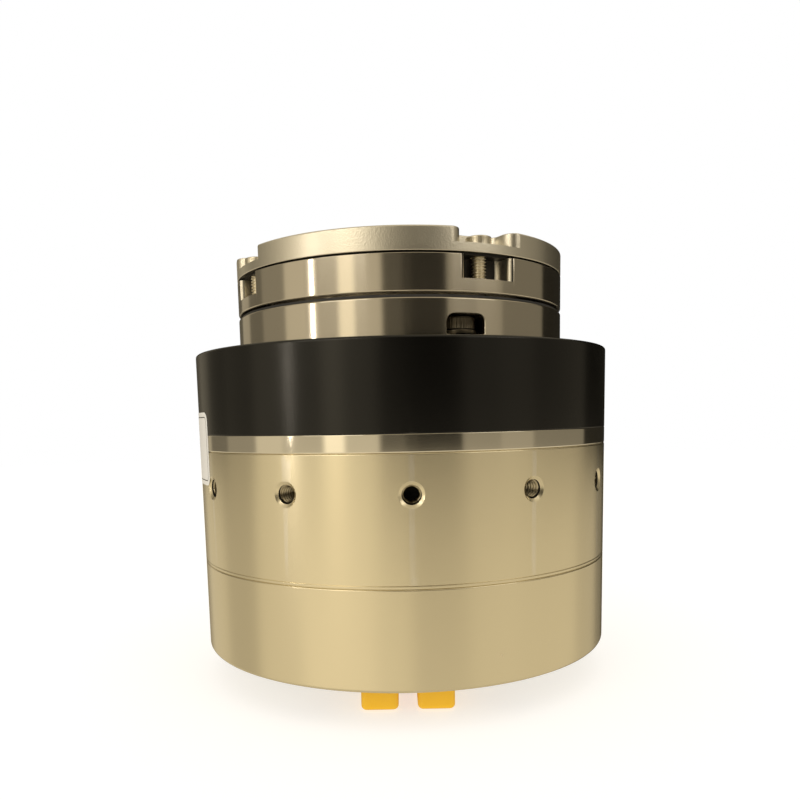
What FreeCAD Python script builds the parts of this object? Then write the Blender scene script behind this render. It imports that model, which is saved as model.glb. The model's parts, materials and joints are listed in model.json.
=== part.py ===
import FreeCAD, Part
import math
import os
from FreeCAD import Vector

# Hollow-shaft robot joint actuator: a frameless motor drives a strain-wave reducer, and the
# reducer turns an output flange carried by a crossed-roller bearing.
# Millimetres. Z is the axis of rotation, z = 0 is the rear face of the rear cover, and the
# output flange faces +Z. Angles are degrees about Z from the front (-Y), counter-clockwise
# as seen from the output side.

# ---- Shells, from the rear face up ----
ring_radius = 30.0                  # the two steel rings and the output plate
mounting_rim = 8.0                  # how far the housing stands out past them
rear_cover_height = 16.0
motor_housing_height = 20.2
end_plate_height = 2.8
front_housing_height = 14.0
spline_flange_height = 6.5          # what shows of the circular spline above the front housing
seal_gap = 0.7
output_ring_height = 5.8
output_plate_height = 4.0
cover_wall = 2.6
cover_floor = 2.6
cover_edge_radius = 0.6
edge_break = 0.3                    # small chamfer on machined rims
register_height = 1.5               # how far one shell enters the next
register_step = 0.95                # the cover's mouth is this much wider than its bore
register_thickness = 0.85
register_end_gap = 0.1
locating_fit = 0.05                 # radial clearance of registers and seats

housing_radius = ring_radius + mounting_rim
cover_top = rear_cover_height
housing_top = cover_top + motor_housing_height
end_plate_top = housing_top + end_plate_height
front_top = end_plate_top + front_housing_height
spline_top = front_top + spline_flange_height
output_base = spline_top + seal_gap
ring_top = output_base + output_ring_height
plate_top = ring_top + output_plate_height
cover_bore = housing_radius - cover_wall
register_radius = cover_bore + register_step
register_base = cover_top - register_height

# ---- Clearances ----
body_gap = 0.3                      # between parts that turn at different speeds
press_fit = 0.01                    # radial, between parts pressed together
thread_fit = 0.05                   # radial, between a screw and the thread that holds it
screw_clearance = 0.15              # radial, of a plain through hole

# ---- Screw sizes: shank radius, head radius, head height, hex across flats ----
m2_radius, m2_head_radius, m2_head_height, m2_hex = 1.0, 2.05, 1.4, 1.3
m25_radius, m25_head_radius, m25_head_height, m25_hex = 1.25, 2.25, 2.5, 2.0
m3_radius, m3_head_radius, m3_head_height, m3_hex = 1.5, 2.75, 3.0, 2.5
m3_tapped_radius = 1.25             # minor radius of an empty M3 thread
m3_low_head_height, m3_low_head_hex = 2.0, 2.0
countersunk_head_radius = 2.5
countersunk_head_height = 1.4

# ---- Hollow centre ----
tube_bore_radius = 5.5
tube_wall = 0.7
tube_flange_width = 1.0
tube_flange_height = 0.8
tube_recess = 0.4                   # how far the tube's rear end stays inside the rear face
shaft_wall = 1.7
shaft_shoulder = 1.1
tube_radius = tube_bore_radius + tube_wall
shaft_bore_radius = tube_radius + 2 * body_gap
shaft_radius = shaft_bore_radius + shaft_wall
tube_flange_radius = tube_radius + tube_flange_width
tube_opening = tube_radius + 2 * body_gap

# ---- Motor bearings: thin deep-groove, 17 x 26 x 5 ----
bearing_section = 4.5               # radial, from the bore to the outside
bearing_width = 5.0
bearing_ring_thickness = 1.3
bearing_ball_radius = 1.19
bearing_ball_count = 9
bearing_ball_fit = 0.03
bearing_shield_thickness = 0.25
bearing_radius = shaft_radius + bearing_section
bearing_pitch_radius = shaft_radius + bearing_section / 2
bearing_overhang = 0.6              # how far a bearing stands past the wall that carries it
seat_wall = 2.4
seat_lip = 1.0
seat_radius = bearing_radius + seat_wall

# ---- Motor ----
motor_wall = 7.0                    # wall of the motor housing round the stator
stator_web_thickness = 2.4          # rear wall of the motor housing
stator_base_gap = 2.0               # from that wall to the lamination stack
stator_front_gap = 3.8              # from the stack to the housing's front face
yoke_thickness = 3.4
slot_depth = 5.2
slot_count = 12
stator_tooth_width = 5.2
stator_shoe_height = 1.0
stator_shoe_angle = 25.5
coil_thickness = 1.9
coil_overhang = 1.7
coil_gap = 0.1
shoulder_width = 1.1                # step that the stack stands on
air_gap = 0.6
magnet_thickness = 1.8
magnet_count = 14
magnet_angle = 21.5
rotor_rim_thickness = 2.4
rotor_web_thickness = 4.0
rotor_hub_wall = 2.2
rotor_hub_length = 9.0
rotor_hole_edge = 1.0               # web left on each side of a lightening hole
rotor_hole_count = 6

stator_radius = housing_radius - motor_wall
stator_bore_radius = stator_radius - yoke_thickness - slot_depth
web_top = cover_top + stator_web_thickness
stack_base = web_top + stator_base_gap
stack_top = housing_top - stator_front_gap
magnet_outer_radius = stator_bore_radius - air_gap
rim_radius = magnet_outer_radius - magnet_thickness
rear_bearing_base = cover_top - bearing_overhang
front_bearing_base = end_plate_top - bearing_width + bearing_overhang
shoulder_radius = shaft_radius + shaft_shoulder
rotor_rim_bore = rim_radius - rotor_rim_thickness
rotor_collar_radius = shoulder_radius + rotor_hub_wall

# ---- Strain-wave reducer ----
flexspline_teeth = 160
circular_teeth = flexspline_teeth + 2
toothing_depth = 8.4                # from the outside of the rings to the flexspline's pitch circle
addendum_factor = 0.74              # tooth heights as shares of the module
dedendum_factor = 0.93
toothing_clearance = 4.6            # from the front end plate to the toothing
flexspline_rim = 0.75
cup_wall = 0.5
boss_drop = 2.4                     # from the top of the output ring to the boss
boss_step = 1.0                     # the boss stands this much above the diaphragm
diaphragm_thickness = 0.7
boss_rim = 3.0                      # boss outside its circle of screws
boss_thickness = 1.9
boss_bore_clearance = 0.8
clamp_thickness = 2.2
clamp_screw_count = 8
clamp_screw_inset = 3.5             # from the boss's bore to its circle of screws
sleeve_wall = 1.88                  # circular spline below its flange, outside the tooth roots
spline_register = 3.0               # how deep the flange sits in the front housing
race_thickness = 1.4
outer_race_thickness = 1.04
wave_ball_radius = 1.5
wave_ball_count = 15
wave_bearing_inset = 0.7            # shorter than the toothing at each end
wave_fit = 0.03
cam_inset = 0.1
cam_hole_edge = 1.6                 # cam left on each side of a lightening hole
cam_hole_count = 6
circlip_thickness = 0.8
circlip_width = 1.8

flexspline_pitch_radius = ring_radius - toothing_depth
tooth_module = 2 * flexspline_pitch_radius / flexspline_teeth
circular_pitch_radius = circular_teeth * tooth_module / 2
wave_height = tooth_module          # how far the wave generator pushes out the flexspline
tooth_addendum = addendum_factor * tooth_module
tooth_dedendum = dedendum_factor * tooth_module
flexspline_root_radius = flexspline_pitch_radius - tooth_dedendum
flexspline_tip_radius = flexspline_pitch_radius + tooth_addendum
circular_tip_radius = circular_pitch_radius - tooth_addendum
circular_root_radius = circular_pitch_radius + tooth_dedendum
flexspline_bore_radius = flexspline_root_radius - flexspline_rim
wave_outer_radius = flexspline_bore_radius - wave_fit
wave_pitch_radius = wave_outer_radius - outer_race_thickness - wave_ball_radius - wave_fit
cam_radius = wave_pitch_radius - wave_fit - wave_ball_radius - race_thickness
spline_base = front_top - spline_register
tooth_base = end_plate_top + toothing_clearance
tooth_width = spline_base - tooth_base
sleeve_radius = circular_root_radius + sleeve_wall
front_bore = sleeve_radius + 2 * locating_fit
boss_top = ring_top - boss_drop
cup_top = boss_top - boss_step
boss_bore = tube_radius + boss_bore_clearance
clamp_screw_circle = boss_bore + clamp_screw_inset
boss_radius = clamp_screw_circle + boss_rim
clamp_base = boss_top - boss_thickness - clamp_thickness
cam_base = tooth_base + cam_inset
cam_top = tooth_base + tooth_width - cam_inset
wave_bearing_base = tooth_base + wave_bearing_inset
wave_bearing_top = tooth_base + tooth_width - wave_bearing_inset

# ---- Screws that hold the circular spline down, in side-milled arches ----
reducer_screw_count = 3
reducer_screw_inset = 3.4           # from the outside of the rings
reducer_angle = 18.2
arch_width = 6.4
arch_height = 3.0
arch_corner_radius = 1.2
arch_floor = 1.0                    # lip left above the front housing
washer_thickness = 0.8
washer_radius = 2.9
key_hole_radius = 1.35
reducer_screw_length = 12.0

reducer_screw_circle = ring_radius - reducer_screw_inset
reducer_seat = front_top + arch_floor + washer_thickness

# ---- Crossed-roller output bearing ----
roller_radius = 0.85
roller_length = 1.6
roller_count = 36
roller_fit = 0.02
roller_inset = 5.1                  # from the outside of the rings
roller_height = 1.4                 # from the lower face of the output ring to the rollers
race_split = 0.5                    # radial gap between the two rings
inner_ring_thickness = 1.75
inner_ring_seat = 2.1               # how deep it sits in the circular spline
inner_ring_top_gap = 0.8
seal_inset = 0.5                    # from the outside of the rings
seal_width = 1.1
seal_seat = 0.6

roller_circle = ring_radius - roller_inset
roller_level = output_base + roller_height
groove_reach = (roller_radius + roller_fit) * math.sqrt(2)
inner_ring_radius = roller_circle - race_split / 2
outer_race_bore = roller_circle + race_split / 2
inner_ring_bore = inner_ring_radius - inner_ring_thickness
seal_outer_radius = ring_radius - seal_inset
seal_inner_radius = seal_outer_radius - seal_width
inner_ring_base = spline_top - inner_ring_seat

# ---- Output ring and plate ----
output_angle = 25.4                 # one of the four notches
notch_count = 4
notch_width = 9.2
notch_floor = 1.7
notch_depth = 5.4
notch_inner_corner = 1.4
notch_outer_corner = 2.0
window_width = 8.8
window_floor = 2.15
window_depth = 3.8
window_corner_left = 0.5
window_corner_right = 1.2
flange_screw_inset = 2.5
flange_screw_end_gap = 0.5          # from the screw's end to the output ring's lower face
plate_spigot = 0.4
plate_spigot_width = 0.7
pilot_rim = 1.5                     # pilot recess outside the boss below it
pilot_depth = 1.0
output_hole_count = 8
output_hole_inset = 10.0            # from the outside of the plate
output_hole_shift = 22.5
dowel_radius = 1.5
dowel_count = 2
clamp_head_seat = 2.6

notch_inner_radius = ring_radius - notch_depth
window_inner_radius = ring_radius - window_depth
flange_screw_circle = ring_radius - flange_screw_inset
flange_seat = ring_top + notch_floor
output_hole_circle = ring_radius - output_hole_inset
pilot_radius = boss_radius + pilot_rim
plate_spigot_radius = outer_race_bore - locating_fit
pilot_floor = plate_top - pilot_depth
clamp_seat = pilot_floor - clamp_head_seat

# ---- Housing screws and mounting holes ----
side_hole_count = 12
side_hole_drop = 6.1                # below the housing's front face
side_hole_depth = 5.5
side_countersink_radius = 1.95
side_countersink_depth = 0.7
housing_screw_count = 6
housing_screw_angle = 15.0
housing_screw_length = 20.0
housing_head_seat = 3.4
housing_head_clearance = 0.2
front_hole_angle = 45.0
front_hole_depth = 8.0
cover_screw_count = 6
cover_screw_inset = 5.0             # from the outside of the cover
cover_screw_angle = 30.0
cover_screw_length = 20.0
cover_boss_radius = 3.0
plate_pilot_width = 3.5
plate_pilot_height = 0.6

side_hole_level = housing_top - side_hole_drop
housing_screw_circle = ring_radius + mounting_rim / 2
cover_screw_circle = housing_radius - cover_screw_inset
housing_seat = front_top - housing_head_seat
housing_screw_tip = housing_seat - housing_screw_length

# ---- Electronics in the rear cover ----
board_thickness = 1.6
driver_board_gap = 2.0              # from the cover's floor
driver_board_edge_gap = 2.0
driver_standoff_inset = 7.9         # from the cover's bore
driver_standoff_count = 4
driver_standoff_angle = 45.0
driver_standoff_hex = 4.5
driver_screw_reach = 2.6            # length of a board screw in its standoff
encoder_board_drop = 6.8            # below the motor housing's rear wall
encoder_board_thickness = 1.2
encoder_board_rim = 2.5             # outside its circle of standoffs
encoder_standoff_gap = 2.6          # from the bearing hub to the circle of standoffs
encoder_standoff_count = 3
encoder_standoff_angle = 60.0
encoder_standoff_hex = 3.5
encoder_screw_reach = 1.3
board_head_height = 1.2
sensor_size = 3.0
sensor_height = 0.7
sensor_shaft_gap = 2.5              # from the shaft to the middle of a sensor
sensor_gap = 0.5                    # between a sensor and the magnet that it reads
magnet_ring_height = 1.2
magnet_ring_width = 3.9
magnet_edge = 0.8                   # magnet outside the middle of its sensor, and board clear of it
mosfet_length, mosfet_width, mosfet_height = 6.0, 5.0, 1.0
mosfet_angles = [96, 114, 156, 204, 246, 264]
controller_size = 8.0
controller_height = 0.9
capacitor_radius = 3.15
capacitor_height = 7.7
capacitor_gap = 0.7                 # from the edge of the encoder board
capacitor_angles = [60, 78, 282, 300]
phase_lead_radius = 0.9
phase_lead_inset = 4.6              # from the outside of the stator
phase_lead_angles = [165, 180, 195]
lead_slot_width = 4.4
lead_slot_angle = 46.0

driver_board_level = cover_floor + driver_board_gap
driver_board_top = driver_board_level + board_thickness
driver_standoff_circle = cover_bore - driver_standoff_inset
encoder_board_level = cover_top - encoder_board_drop
encoder_board_top = encoder_board_level + encoder_board_thickness
encoder_standoff_circle = seat_radius + encoder_standoff_gap
encoder_board_radius = encoder_standoff_circle + encoder_board_rim
sensor_circle = shaft_radius + sensor_shaft_gap
encoder_board_bore = sensor_circle - sensor_size / 2 - body_gap
magnet_ring_radius = shaft_radius + magnet_ring_width
rotor_magnet_base = encoder_board_top + sensor_height + sensor_gap
output_magnet_radius = sensor_circle + magnet_edge
driver_board_bore = output_magnet_radius + magnet_edge
mosfet_circle = encoder_board_radius + magnet_edge - body_gap
capacitor_circle = encoder_board_radius + capacitor_gap + capacitor_radius
phase_lead_circle = stator_radius - phase_lead_inset

# ---- Power connectors: two alike, side by side ----
connector_angle = -1.6
connector_width = 6.1
connector_length = 15.2
connector_edge_gap = 5.4            # from the cover's bore to their front faces
connector_spacing = 9.2
connector_reach = 5.8               # how far they stand out of the rear face
connector_corner = 0.9
connector_wall = 1.05
connector_depth = 7.0
connector_window_gap = 0.3
power_pin_radius = 1.0
power_pin_places = [3.0, 8.0]       # from the front face
signal_pin_radius = 0.5
signal_pin_places = [11.4, 13.4]
pin_tip_gap = 0.8

connector_front = cover_bore - connector_edge_gap


# ---- Helpers ----

def polar(radius, angle, z=0.0):
    """Point at an angle from the front."""
    turn = math.radians(angle)
    return Vector(radius * math.sin(turn), -radius * math.cos(turn), z)


def turned(shape, angle):
    copy = shape.copy()
    copy.rotate(Vector(0, 0, 0), Vector(0, 0, 1), angle)
    return copy


def around(shape, count, first=0.0):
    return [turned(shape, first + 360.0 * i / count) for i in range(count)]


def disc(radius, bottom, top, centre=Vector(0, 0, 0)):
    return Part.makeCylinder(radius, top - bottom, Vector(centre.x, centre.y, bottom))


def ring(outer, inner, bottom, top):
    return disc(outer, bottom, top).cut(disc(inner, bottom, top))


def revolved(points, sweep=360.0):
    """Solid of revolution from (radius, height) points, starting at the front."""
    corners = [polar(radius, 0, height) for radius, height in points]
    face = Part.Face(Part.makePolygon(corners + corners[:1]))
    return face.revolve(Vector(0, 0, 0), Vector(0, 0, 1), sweep)


def sector(outer, inner, bottom, top, width):
    """Part of a ring, its middle at the front."""
    section = [(inner, bottom), (outer, bottom), (outer, top), (inner, top)]
    return turned(revolved(section, width), -width / 2)


def block(width, inner, outer, bottom, top):
    """Box from one distance to another along the front direction."""
    return Part.makeBox(width, outer - inner, top - bottom, Vector(-width / 2, -outer, bottom))


def hexagon(flats, bottom, top, centre=Vector(0, 0, 0)):
    corner = flats / math.sqrt(3)
    spots = [centre + polar(corner, 60 * i) for i in range(7)]
    wire = Part.makePolygon([Vector(spot.x, spot.y, bottom) for spot in spots])
    return Part.Face(wire).extrude(Vector(0, 0, top - bottom))


def oval_wire(radius, z, wave=wave_height):
    """Two-lobed outline of the wave generator at one radius, its long axis at the sides."""
    if wave == 0:
        return Part.Wire(Part.Circle(Vector(0, 0, z), Vector(0, 0, 1), radius).toShape())
    oval = Part.Ellipse(Vector(0, 0, z), radius + wave, radius - wave)
    return Part.Wire(oval.toShape())


def oval(radius, bottom, top):
    return Part.Face(oval_wire(radius, bottom)).extrude(Vector(0, 0, top - bottom))


def oval_ring(outer, inner, bottom, top):
    return oval(outer, bottom, top).cut(oval(inner, bottom, top))


def rim_edges(shape, radius, z):
    """Round edges of one radius at one height."""
    found = []
    for edge in shape.Edges:
        curve = edge.Curve
        if isinstance(curve, Part.Circle) and abs(curve.Radius - radius) < 1e-4 and abs(curve.Center.z - z) < 1e-4:
            found.append(edge)
    return found


def upright_edges(shape, low, high, wanted):
    """Straight upright edges between two heights whose distance from the axis is wanted."""
    found = []
    for edge in shape.Edges:
        ends = [vertex.Point for vertex in edge.Vertexes]
        if len(ends) != 2 or math.hypot(ends[0].x - ends[1].x, ends[0].y - ends[1].y) > 1e-5:
            continue
        heights = sorted(end.z for end in ends)
        if heights[0] > low - 1e-4 and heights[1] < high + 1e-4:
            if abs(math.hypot(ends[0].x, ends[0].y) - wanted) < 1e-3:
                found.append(edge)
    return found


def cap_screw(radius, length, head_radius, head_height, hex_flats, seat, centre):
    """Socket-head screw pointing down, its head standing on the seat."""
    head = disc(head_radius, seat, seat + head_height, centre)
    top_edges = [edge for edge in head.Edges if isinstance(edge.Curve, Part.Circle)
                 and edge.Curve.Center.z > seat + head_height / 2]
    head = head.makeChamfer(head_height * 0.1, top_edges)
    shank = disc(radius, seat - length, seat, centre)
    socket = hexagon(hex_flats, seat + head_height * 0.45, seat + head_height, centre)
    return head.fuse(shank).cut(socket).removeSplitter()


def zigzag(count, place):
    """Closed toothed outline; place gives a point for a tooth's tip (0) or root (1) by its number."""
    corners = []
    for i in range(count):
        corners.append(place(i, 0))
        corners.append(place(i + 0.5, 1))
    return Part.makePolygon(corners + corners[:1])


# ---- Shells ----

def countersunk_head(spot):
    return Part.makeCone(countersunk_head_radius, m25_radius, countersunk_head_height, Vector(spot.x, spot.y, 0))


def rear_cover():
    base = disc(cover_boss_radius, cover_floor, register_base, polar(cover_screw_circle, 0))
    spot = polar(cover_screw_circle, 0)
    hole = disc(m25_radius + screw_clearance, 0, cover_top, spot).fuse(countersunk_head(spot))
    cover = revolved([
        (tube_opening, 0), (housing_radius, 0), (housing_radius, cover_top - edge_break),
        (housing_radius - edge_break, cover_top), (register_radius + locating_fit, cover_top),
        (register_radius + locating_fit, register_base), (cover_bore, register_base),
        (cover_bore, cover_floor), (tube_opening, cover_floor)])
    cover = cover.makeFillet(cover_edge_radius, rim_edges(cover, housing_radius, 0))
    cover = cover.fuse(around(base, cover_screw_count, cover_screw_angle))
    cover = cover.cut(around(hole, cover_screw_count, cover_screw_angle))
    return cover.cut(connector_windows()).removeSplitter()


def rear_cover_screws():
    spot = polar(cover_screw_circle, 0)
    screw = countersunk_head(spot).fuse(disc(m25_radius, 0, cover_screw_length, spot))
    screw = screw.cut(hexagon(m2_hex, 0, countersunk_head_height * 0.7, spot)).removeSplitter()
    return around(screw, cover_screw_count, cover_screw_angle)


def side_hole():
    """Tapped hole from the outside towards the axis, with its countersink."""
    mouth = Vector(0, -housing_radius, side_hole_level)
    inward = Vector(0, 1, 0)
    bore = Part.makeCylinder(m3_tapped_radius, side_hole_depth, mouth, inward)
    start = Vector(0, -housing_radius - 0.1, side_hole_level)
    sink = Part.makeCone(side_countersink_radius + 0.1, m3_tapped_radius, side_countersink_depth + 0.1, start, inward)
    return bore.fuse(sink)


def motor_housing():
    shell = revolved([
        (bearing_radius - seat_lip, rear_bearing_base - seat_lip), (seat_radius, rear_bearing_base - seat_lip),
        (seat_radius, cover_top), (register_radius - register_thickness, cover_top),
        (register_radius - register_thickness, register_base + register_end_gap),
        (register_radius, register_base + register_end_gap), (register_radius, cover_top),
        (housing_radius - edge_break, cover_top), (housing_radius, cover_top + edge_break),
        (housing_radius, housing_top), (stator_radius + press_fit, housing_top),
        (stator_radius + press_fit, stack_base), (stator_radius - shoulder_width, stack_base),
        (stator_radius - shoulder_width, web_top), (seat_radius, web_top),
        (seat_radius, rear_bearing_base + bearing_width),
        (bearing_radius + press_fit, rear_bearing_base + bearing_width),
        (bearing_radius + press_fit, rear_bearing_base), (bearing_radius - seat_lip, rear_bearing_base)])
    pad = disc(cover_boss_radius, register_base, cover_top, polar(cover_screw_circle, 0))
    pads = [copy.common(disc(register_radius, 0, plate_top)) for copy in around(pad, cover_screw_count, cover_screw_angle)]
    cover_hole = disc(m25_radius + thread_fit, register_base, cover_screw_length + 1.0, polar(cover_screw_circle, 0))
    housing_hole = disc(m3_radius + thread_fit, housing_screw_tip - 1.0, housing_top, polar(housing_screw_circle, 0))
    cuts = around(cover_hole, cover_screw_count, cover_screw_angle)
    cuts += around(housing_hole, housing_screw_count, housing_screw_angle)
    cuts += around(side_hole(), side_hole_count)
    cuts.append(lead_slot())
    return shell.fuse(pads).cut(cuts).removeSplitter()


def lead_slot():
    """Opening in the rear wall that the motor's phase leads pass through."""
    slot = sector(phase_lead_circle + lead_slot_width / 2, phase_lead_circle - lead_slot_width / 2,
                  cover_top - 1.0, web_top + 1.0, lead_slot_angle)
    return turned(slot, phase_lead_angles[1])


def front_end_plate():
    """Polished ring between the motor and the reducer; its hub holds the front motor bearing."""
    lip_base = front_bearing_base - seat_lip
    plate = revolved([
        (bearing_radius - seat_lip, lip_base), (seat_radius, lip_base), (seat_radius, housing_top),
        (stator_radius - plate_pilot_width, housing_top),
        (stator_radius - plate_pilot_width, housing_top - plate_pilot_height),
        (stator_radius - locating_fit, housing_top - plate_pilot_height), (stator_radius - locating_fit, housing_top),
        (housing_radius - edge_break, housing_top), (housing_radius, housing_top + edge_break),
        (housing_radius, end_plate_top), (front_bore - locating_fit, end_plate_top),
        (front_bore - locating_fit, end_plate_top + register_height),
        (front_bore - register_thickness * 2, end_plate_top + register_height),
        (front_bore - register_thickness * 2, end_plate_top), (seat_radius, end_plate_top),
        (seat_radius, front_bearing_base + bearing_width),
        (bearing_radius + press_fit, front_bearing_base + bearing_width),
        (bearing_radius + press_fit, front_bearing_base), (bearing_radius - seat_lip, front_bearing_base)])
    hole = disc(m3_radius + screw_clearance, housing_top - 1.0, end_plate_top + 1.0, polar(housing_screw_circle, 0))
    return plate.cut(around(hole, housing_screw_count, housing_screw_angle)).removeSplitter()


def front_housing():
    """Black ring round the reducer, which also carries the front mounting holes."""
    shell = revolved([
        (front_bore, end_plate_top), (housing_radius, end_plate_top), (housing_radius, front_top - edge_break),
        (housing_radius - edge_break, front_top), (ring_radius + locating_fit, front_top),
        (ring_radius + locating_fit, spline_base), (front_bore, spline_base)])
    spot = polar(housing_screw_circle, 0)
    bolt_hole = disc(m3_radius + screw_clearance, end_plate_top, front_top, spot)
    bolt_hole = bolt_hole.fuse(disc(m3_head_radius + housing_head_clearance, housing_seat, front_top, spot))
    mount_hole = disc(m3_tapped_radius, front_top - front_hole_depth, front_top, spot)
    spline_hole = disc(m3_radius + thread_fit, reducer_seat - reducer_screw_length - 1.0, spline_base,
                       polar(reducer_screw_circle, 0))
    cuts = around(bolt_hole, housing_screw_count, housing_screw_angle)
    cuts += around(mount_hole, housing_screw_count, front_hole_angle)
    cuts += around(spline_hole, reducer_screw_count, reducer_angle)
    return shell.cut(cuts).removeSplitter()


def housing_screws():
    screw = cap_screw(m3_radius, housing_screw_length, m3_head_radius, m3_head_height, m3_hex,
                      housing_seat, polar(housing_screw_circle, 0))
    return around(screw, housing_screw_count, housing_screw_angle)


# ---- Strain-wave reducer ----

def arch():
    """Pocket milled into the flange from its side, with a slot for the shank and a hole for the key."""
    floor = front_top + arch_floor
    pocket = block(arch_width, reducer_screw_circle - arch_width, ring_radius + 1.0, floor, floor + arch_height)
    corners = [edge for edge in pocket.Edges if abs(edge.BoundBox.ZMin - floor - arch_height) < 1e-6
               and edge.BoundBox.YLength > arch_width]
    pocket = pocket.makeFillet(arch_corner_radius, corners)
    reach = disc(arch_width / 2, floor, floor + arch_height, polar(reducer_screw_circle, 0))
    reach = reach.fuse(block(arch_width, reducer_screw_circle, ring_radius + 1.0, floor, floor + arch_height))
    slot_radius = m3_radius + screw_clearance
    slot = disc(slot_radius, spline_base, floor, polar(reducer_screw_circle, 0))
    slot = slot.fuse(block(2 * slot_radius, reducer_screw_circle, ring_radius + 1.0, spline_base, floor))
    key_hole = disc(key_hole_radius, floor, spline_top, polar(reducer_screw_circle, 0))
    return pocket.common(reach).fuse([slot, key_hole])


def circular_spline():
    """Fixed internal gear: a toothed sleeve under the flange that shows above the front housing."""
    relief = circular_root_radius + 0.5
    flange = revolved([
        (relief, spline_base), (ring_radius, spline_base), (ring_radius, spline_top - edge_break),
        (ring_radius - edge_break, spline_top), (seal_outer_radius + locating_fit, spline_top),
        (seal_outer_radius + locating_fit, spline_top - seal_seat), (seal_inner_radius, spline_top - seal_seat),
        (seal_inner_radius, spline_top), (inner_ring_radius + press_fit, spline_top),
        (inner_ring_radius + press_fit, inner_ring_base), (relief, inner_ring_base)])

    def place(number, root):
        radius = circular_root_radius if root else circular_tip_radius
        return polar(radius, 90 + 360.0 * (number + 0.5) / circular_teeth, tooth_base)

    outline = Part.Wire(Part.Circle(Vector(0, 0, tooth_base), Vector(0, 0, 1), sleeve_radius).toShape())
    sleeve = Part.Face([outline, zigzag(circular_teeth, place)]).extrude(Vector(0, 0, spline_base - tooth_base))
    return flange.fuse(sleeve).cut(around(arch(), reducer_screw_count, reducer_angle)).removeSplitter()


def flexspline():
    """Thin toothed cup, pressed into its two-lobed shape by the wave generator."""
    def place(number, root):
        turn = 2 * math.pi * number / flexspline_teeth
        radius = (flexspline_root_radius if root else flexspline_tip_radius) + wave_height * math.cos(2 * turn)
        slip = wave_height / (2 * flexspline_pitch_radius) * math.sin(2 * turn)
        return polar(radius, 90 + math.degrees(turn - slip), tooth_base)

    toothed = Part.Face([zigzag(flexspline_teeth, place), oval_wire(flexspline_bore_radius, tooth_base)])
    toothed = toothed.extrude(Vector(0, 0, tooth_width))
    wall_base = tooth_base + tooth_width
    wall_top = cup_top - diaphragm_thickness
    wall_radius = flexspline_bore_radius + cup_wall
    outside = Part.makeLoft([oval_wire(wall_radius, wall_base), oval_wire(wall_radius, wall_top, 0)], True, True)
    inside = Part.makeLoft([oval_wire(flexspline_bore_radius, wall_base),
                            oval_wire(flexspline_bore_radius, wall_top, 0)], True, True)
    diaphragm = revolved([
        (boss_bore, boss_top - boss_thickness), (boss_radius, boss_top - boss_thickness), (boss_radius, wall_top),
        (wall_radius, wall_top), (wall_radius, cup_top), (boss_radius, cup_top), (boss_radius, boss_top),
        (boss_bore, boss_top)])
    hole = disc(m25_radius + screw_clearance, clamp_base, boss_top, polar(clamp_screw_circle, 0))
    cup = toothed.fuse([outside.cut(inside), diaphragm])
    return cup.cut(around(hole, clamp_screw_count, output_angle)).removeSplitter()


def flexspline_clamp():
    clamp = ring(boss_radius - body_gap, boss_bore, clamp_base, boss_top - boss_thickness)
    hole = disc(m25_radius + thread_fit, clamp_base, boss_top, polar(clamp_screw_circle, 0))
    return clamp.cut(around(hole, clamp_screw_count, output_angle))


def flexspline_screws():
    screw = cap_screw(m25_radius, clamp_seat - clamp_base - 0.3, m25_head_radius, m25_head_height, m25_hex,
                      clamp_seat, polar(clamp_screw_circle, 0))
    return around(screw, clamp_screw_count, output_angle)


def reducer_screws():
    screw = cap_screw(m3_radius, reducer_screw_length, m3_head_radius, m3_low_head_height, m3_low_head_hex,
                      reducer_seat, polar(reducer_screw_circle, 0))
    return around(screw, reducer_screw_count, reducer_angle)


def reducer_lock_washers():
    floor = front_top + arch_floor
    spot = polar(reducer_screw_circle, 0)
    washer = disc(washer_radius, floor, floor + washer_thickness, spot)
    washer = washer.cut(disc(m3_radius + screw_clearance / 2, floor, floor + washer_thickness, spot))
    split = Part.makeBox(washer_thickness / 2, washer_radius, washer_thickness, Vector(0, -reducer_screw_circle, floor))
    return around(washer.cut(split), reducer_screw_count, reducer_angle)


def wave_generator_cam():
    cam = oval(cam_radius, cam_base, cam_top).cut(disc(shaft_radius + press_fit, cam_base, cam_top))
    hole_radius = (cam_radius - shaft_radius) / 2 - cam_hole_edge
    hole = disc(hole_radius, cam_base, cam_top, polar((cam_radius + shaft_radius) / 2, 0))
    return cam.cut(around(hole, cam_hole_count))


def wave_generator_spacer():
    return ring(shaft_radius + bearing_ring_thickness, shaft_radius + press_fit,
                front_bearing_base + bearing_width, cam_base)


def wave_generator_circlip():
    top = cam_top + circlip_thickness
    clip = ring(shaft_radius + circlip_width - circlip_thickness, shaft_radius - circlip_thickness / 2, cam_top, top)
    mouth = block(shaft_radius, 0, shaft_radius * 2, cam_top, top)
    return clip.cut(mouth)


def wave_bearing_inner_race():
    return oval_ring(cam_radius + race_thickness, cam_radius + press_fit, wave_bearing_base, wave_bearing_top)


def wave_bearing_outer_race():
    bore = wave_pitch_radius + wave_ball_radius + wave_fit
    return oval_ring(wave_outer_radius, bore, wave_bearing_base, wave_bearing_top)


def wave_bearing_balls():
    level = (wave_bearing_base + wave_bearing_top) / 2
    balls = []
    for i in range(wave_ball_count):
        turn = 2 * math.pi * i / wave_ball_count
        centre = Vector((wave_pitch_radius + wave_height) * math.cos(turn),
                        (wave_pitch_radius - wave_height) * math.sin(turn), level)
        balls.append(Part.makeSphere(wave_ball_radius, centre))
    return balls


# ---- Output bearing, ring and plate ----

def race_groove():
    """Square groove on edge, shared by the two rings of the crossed-roller bearing."""
    return revolved([
        (roller_circle - groove_reach, roller_level), (roller_circle, roller_level - groove_reach),
        (roller_circle + groove_reach, roller_level), (roller_circle, roller_level + groove_reach)])


def bearing_inner_ring():
    return ring(inner_ring_radius, inner_ring_bore, inner_ring_base, ring_top - inner_ring_top_gap).cut(race_groove())


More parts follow.
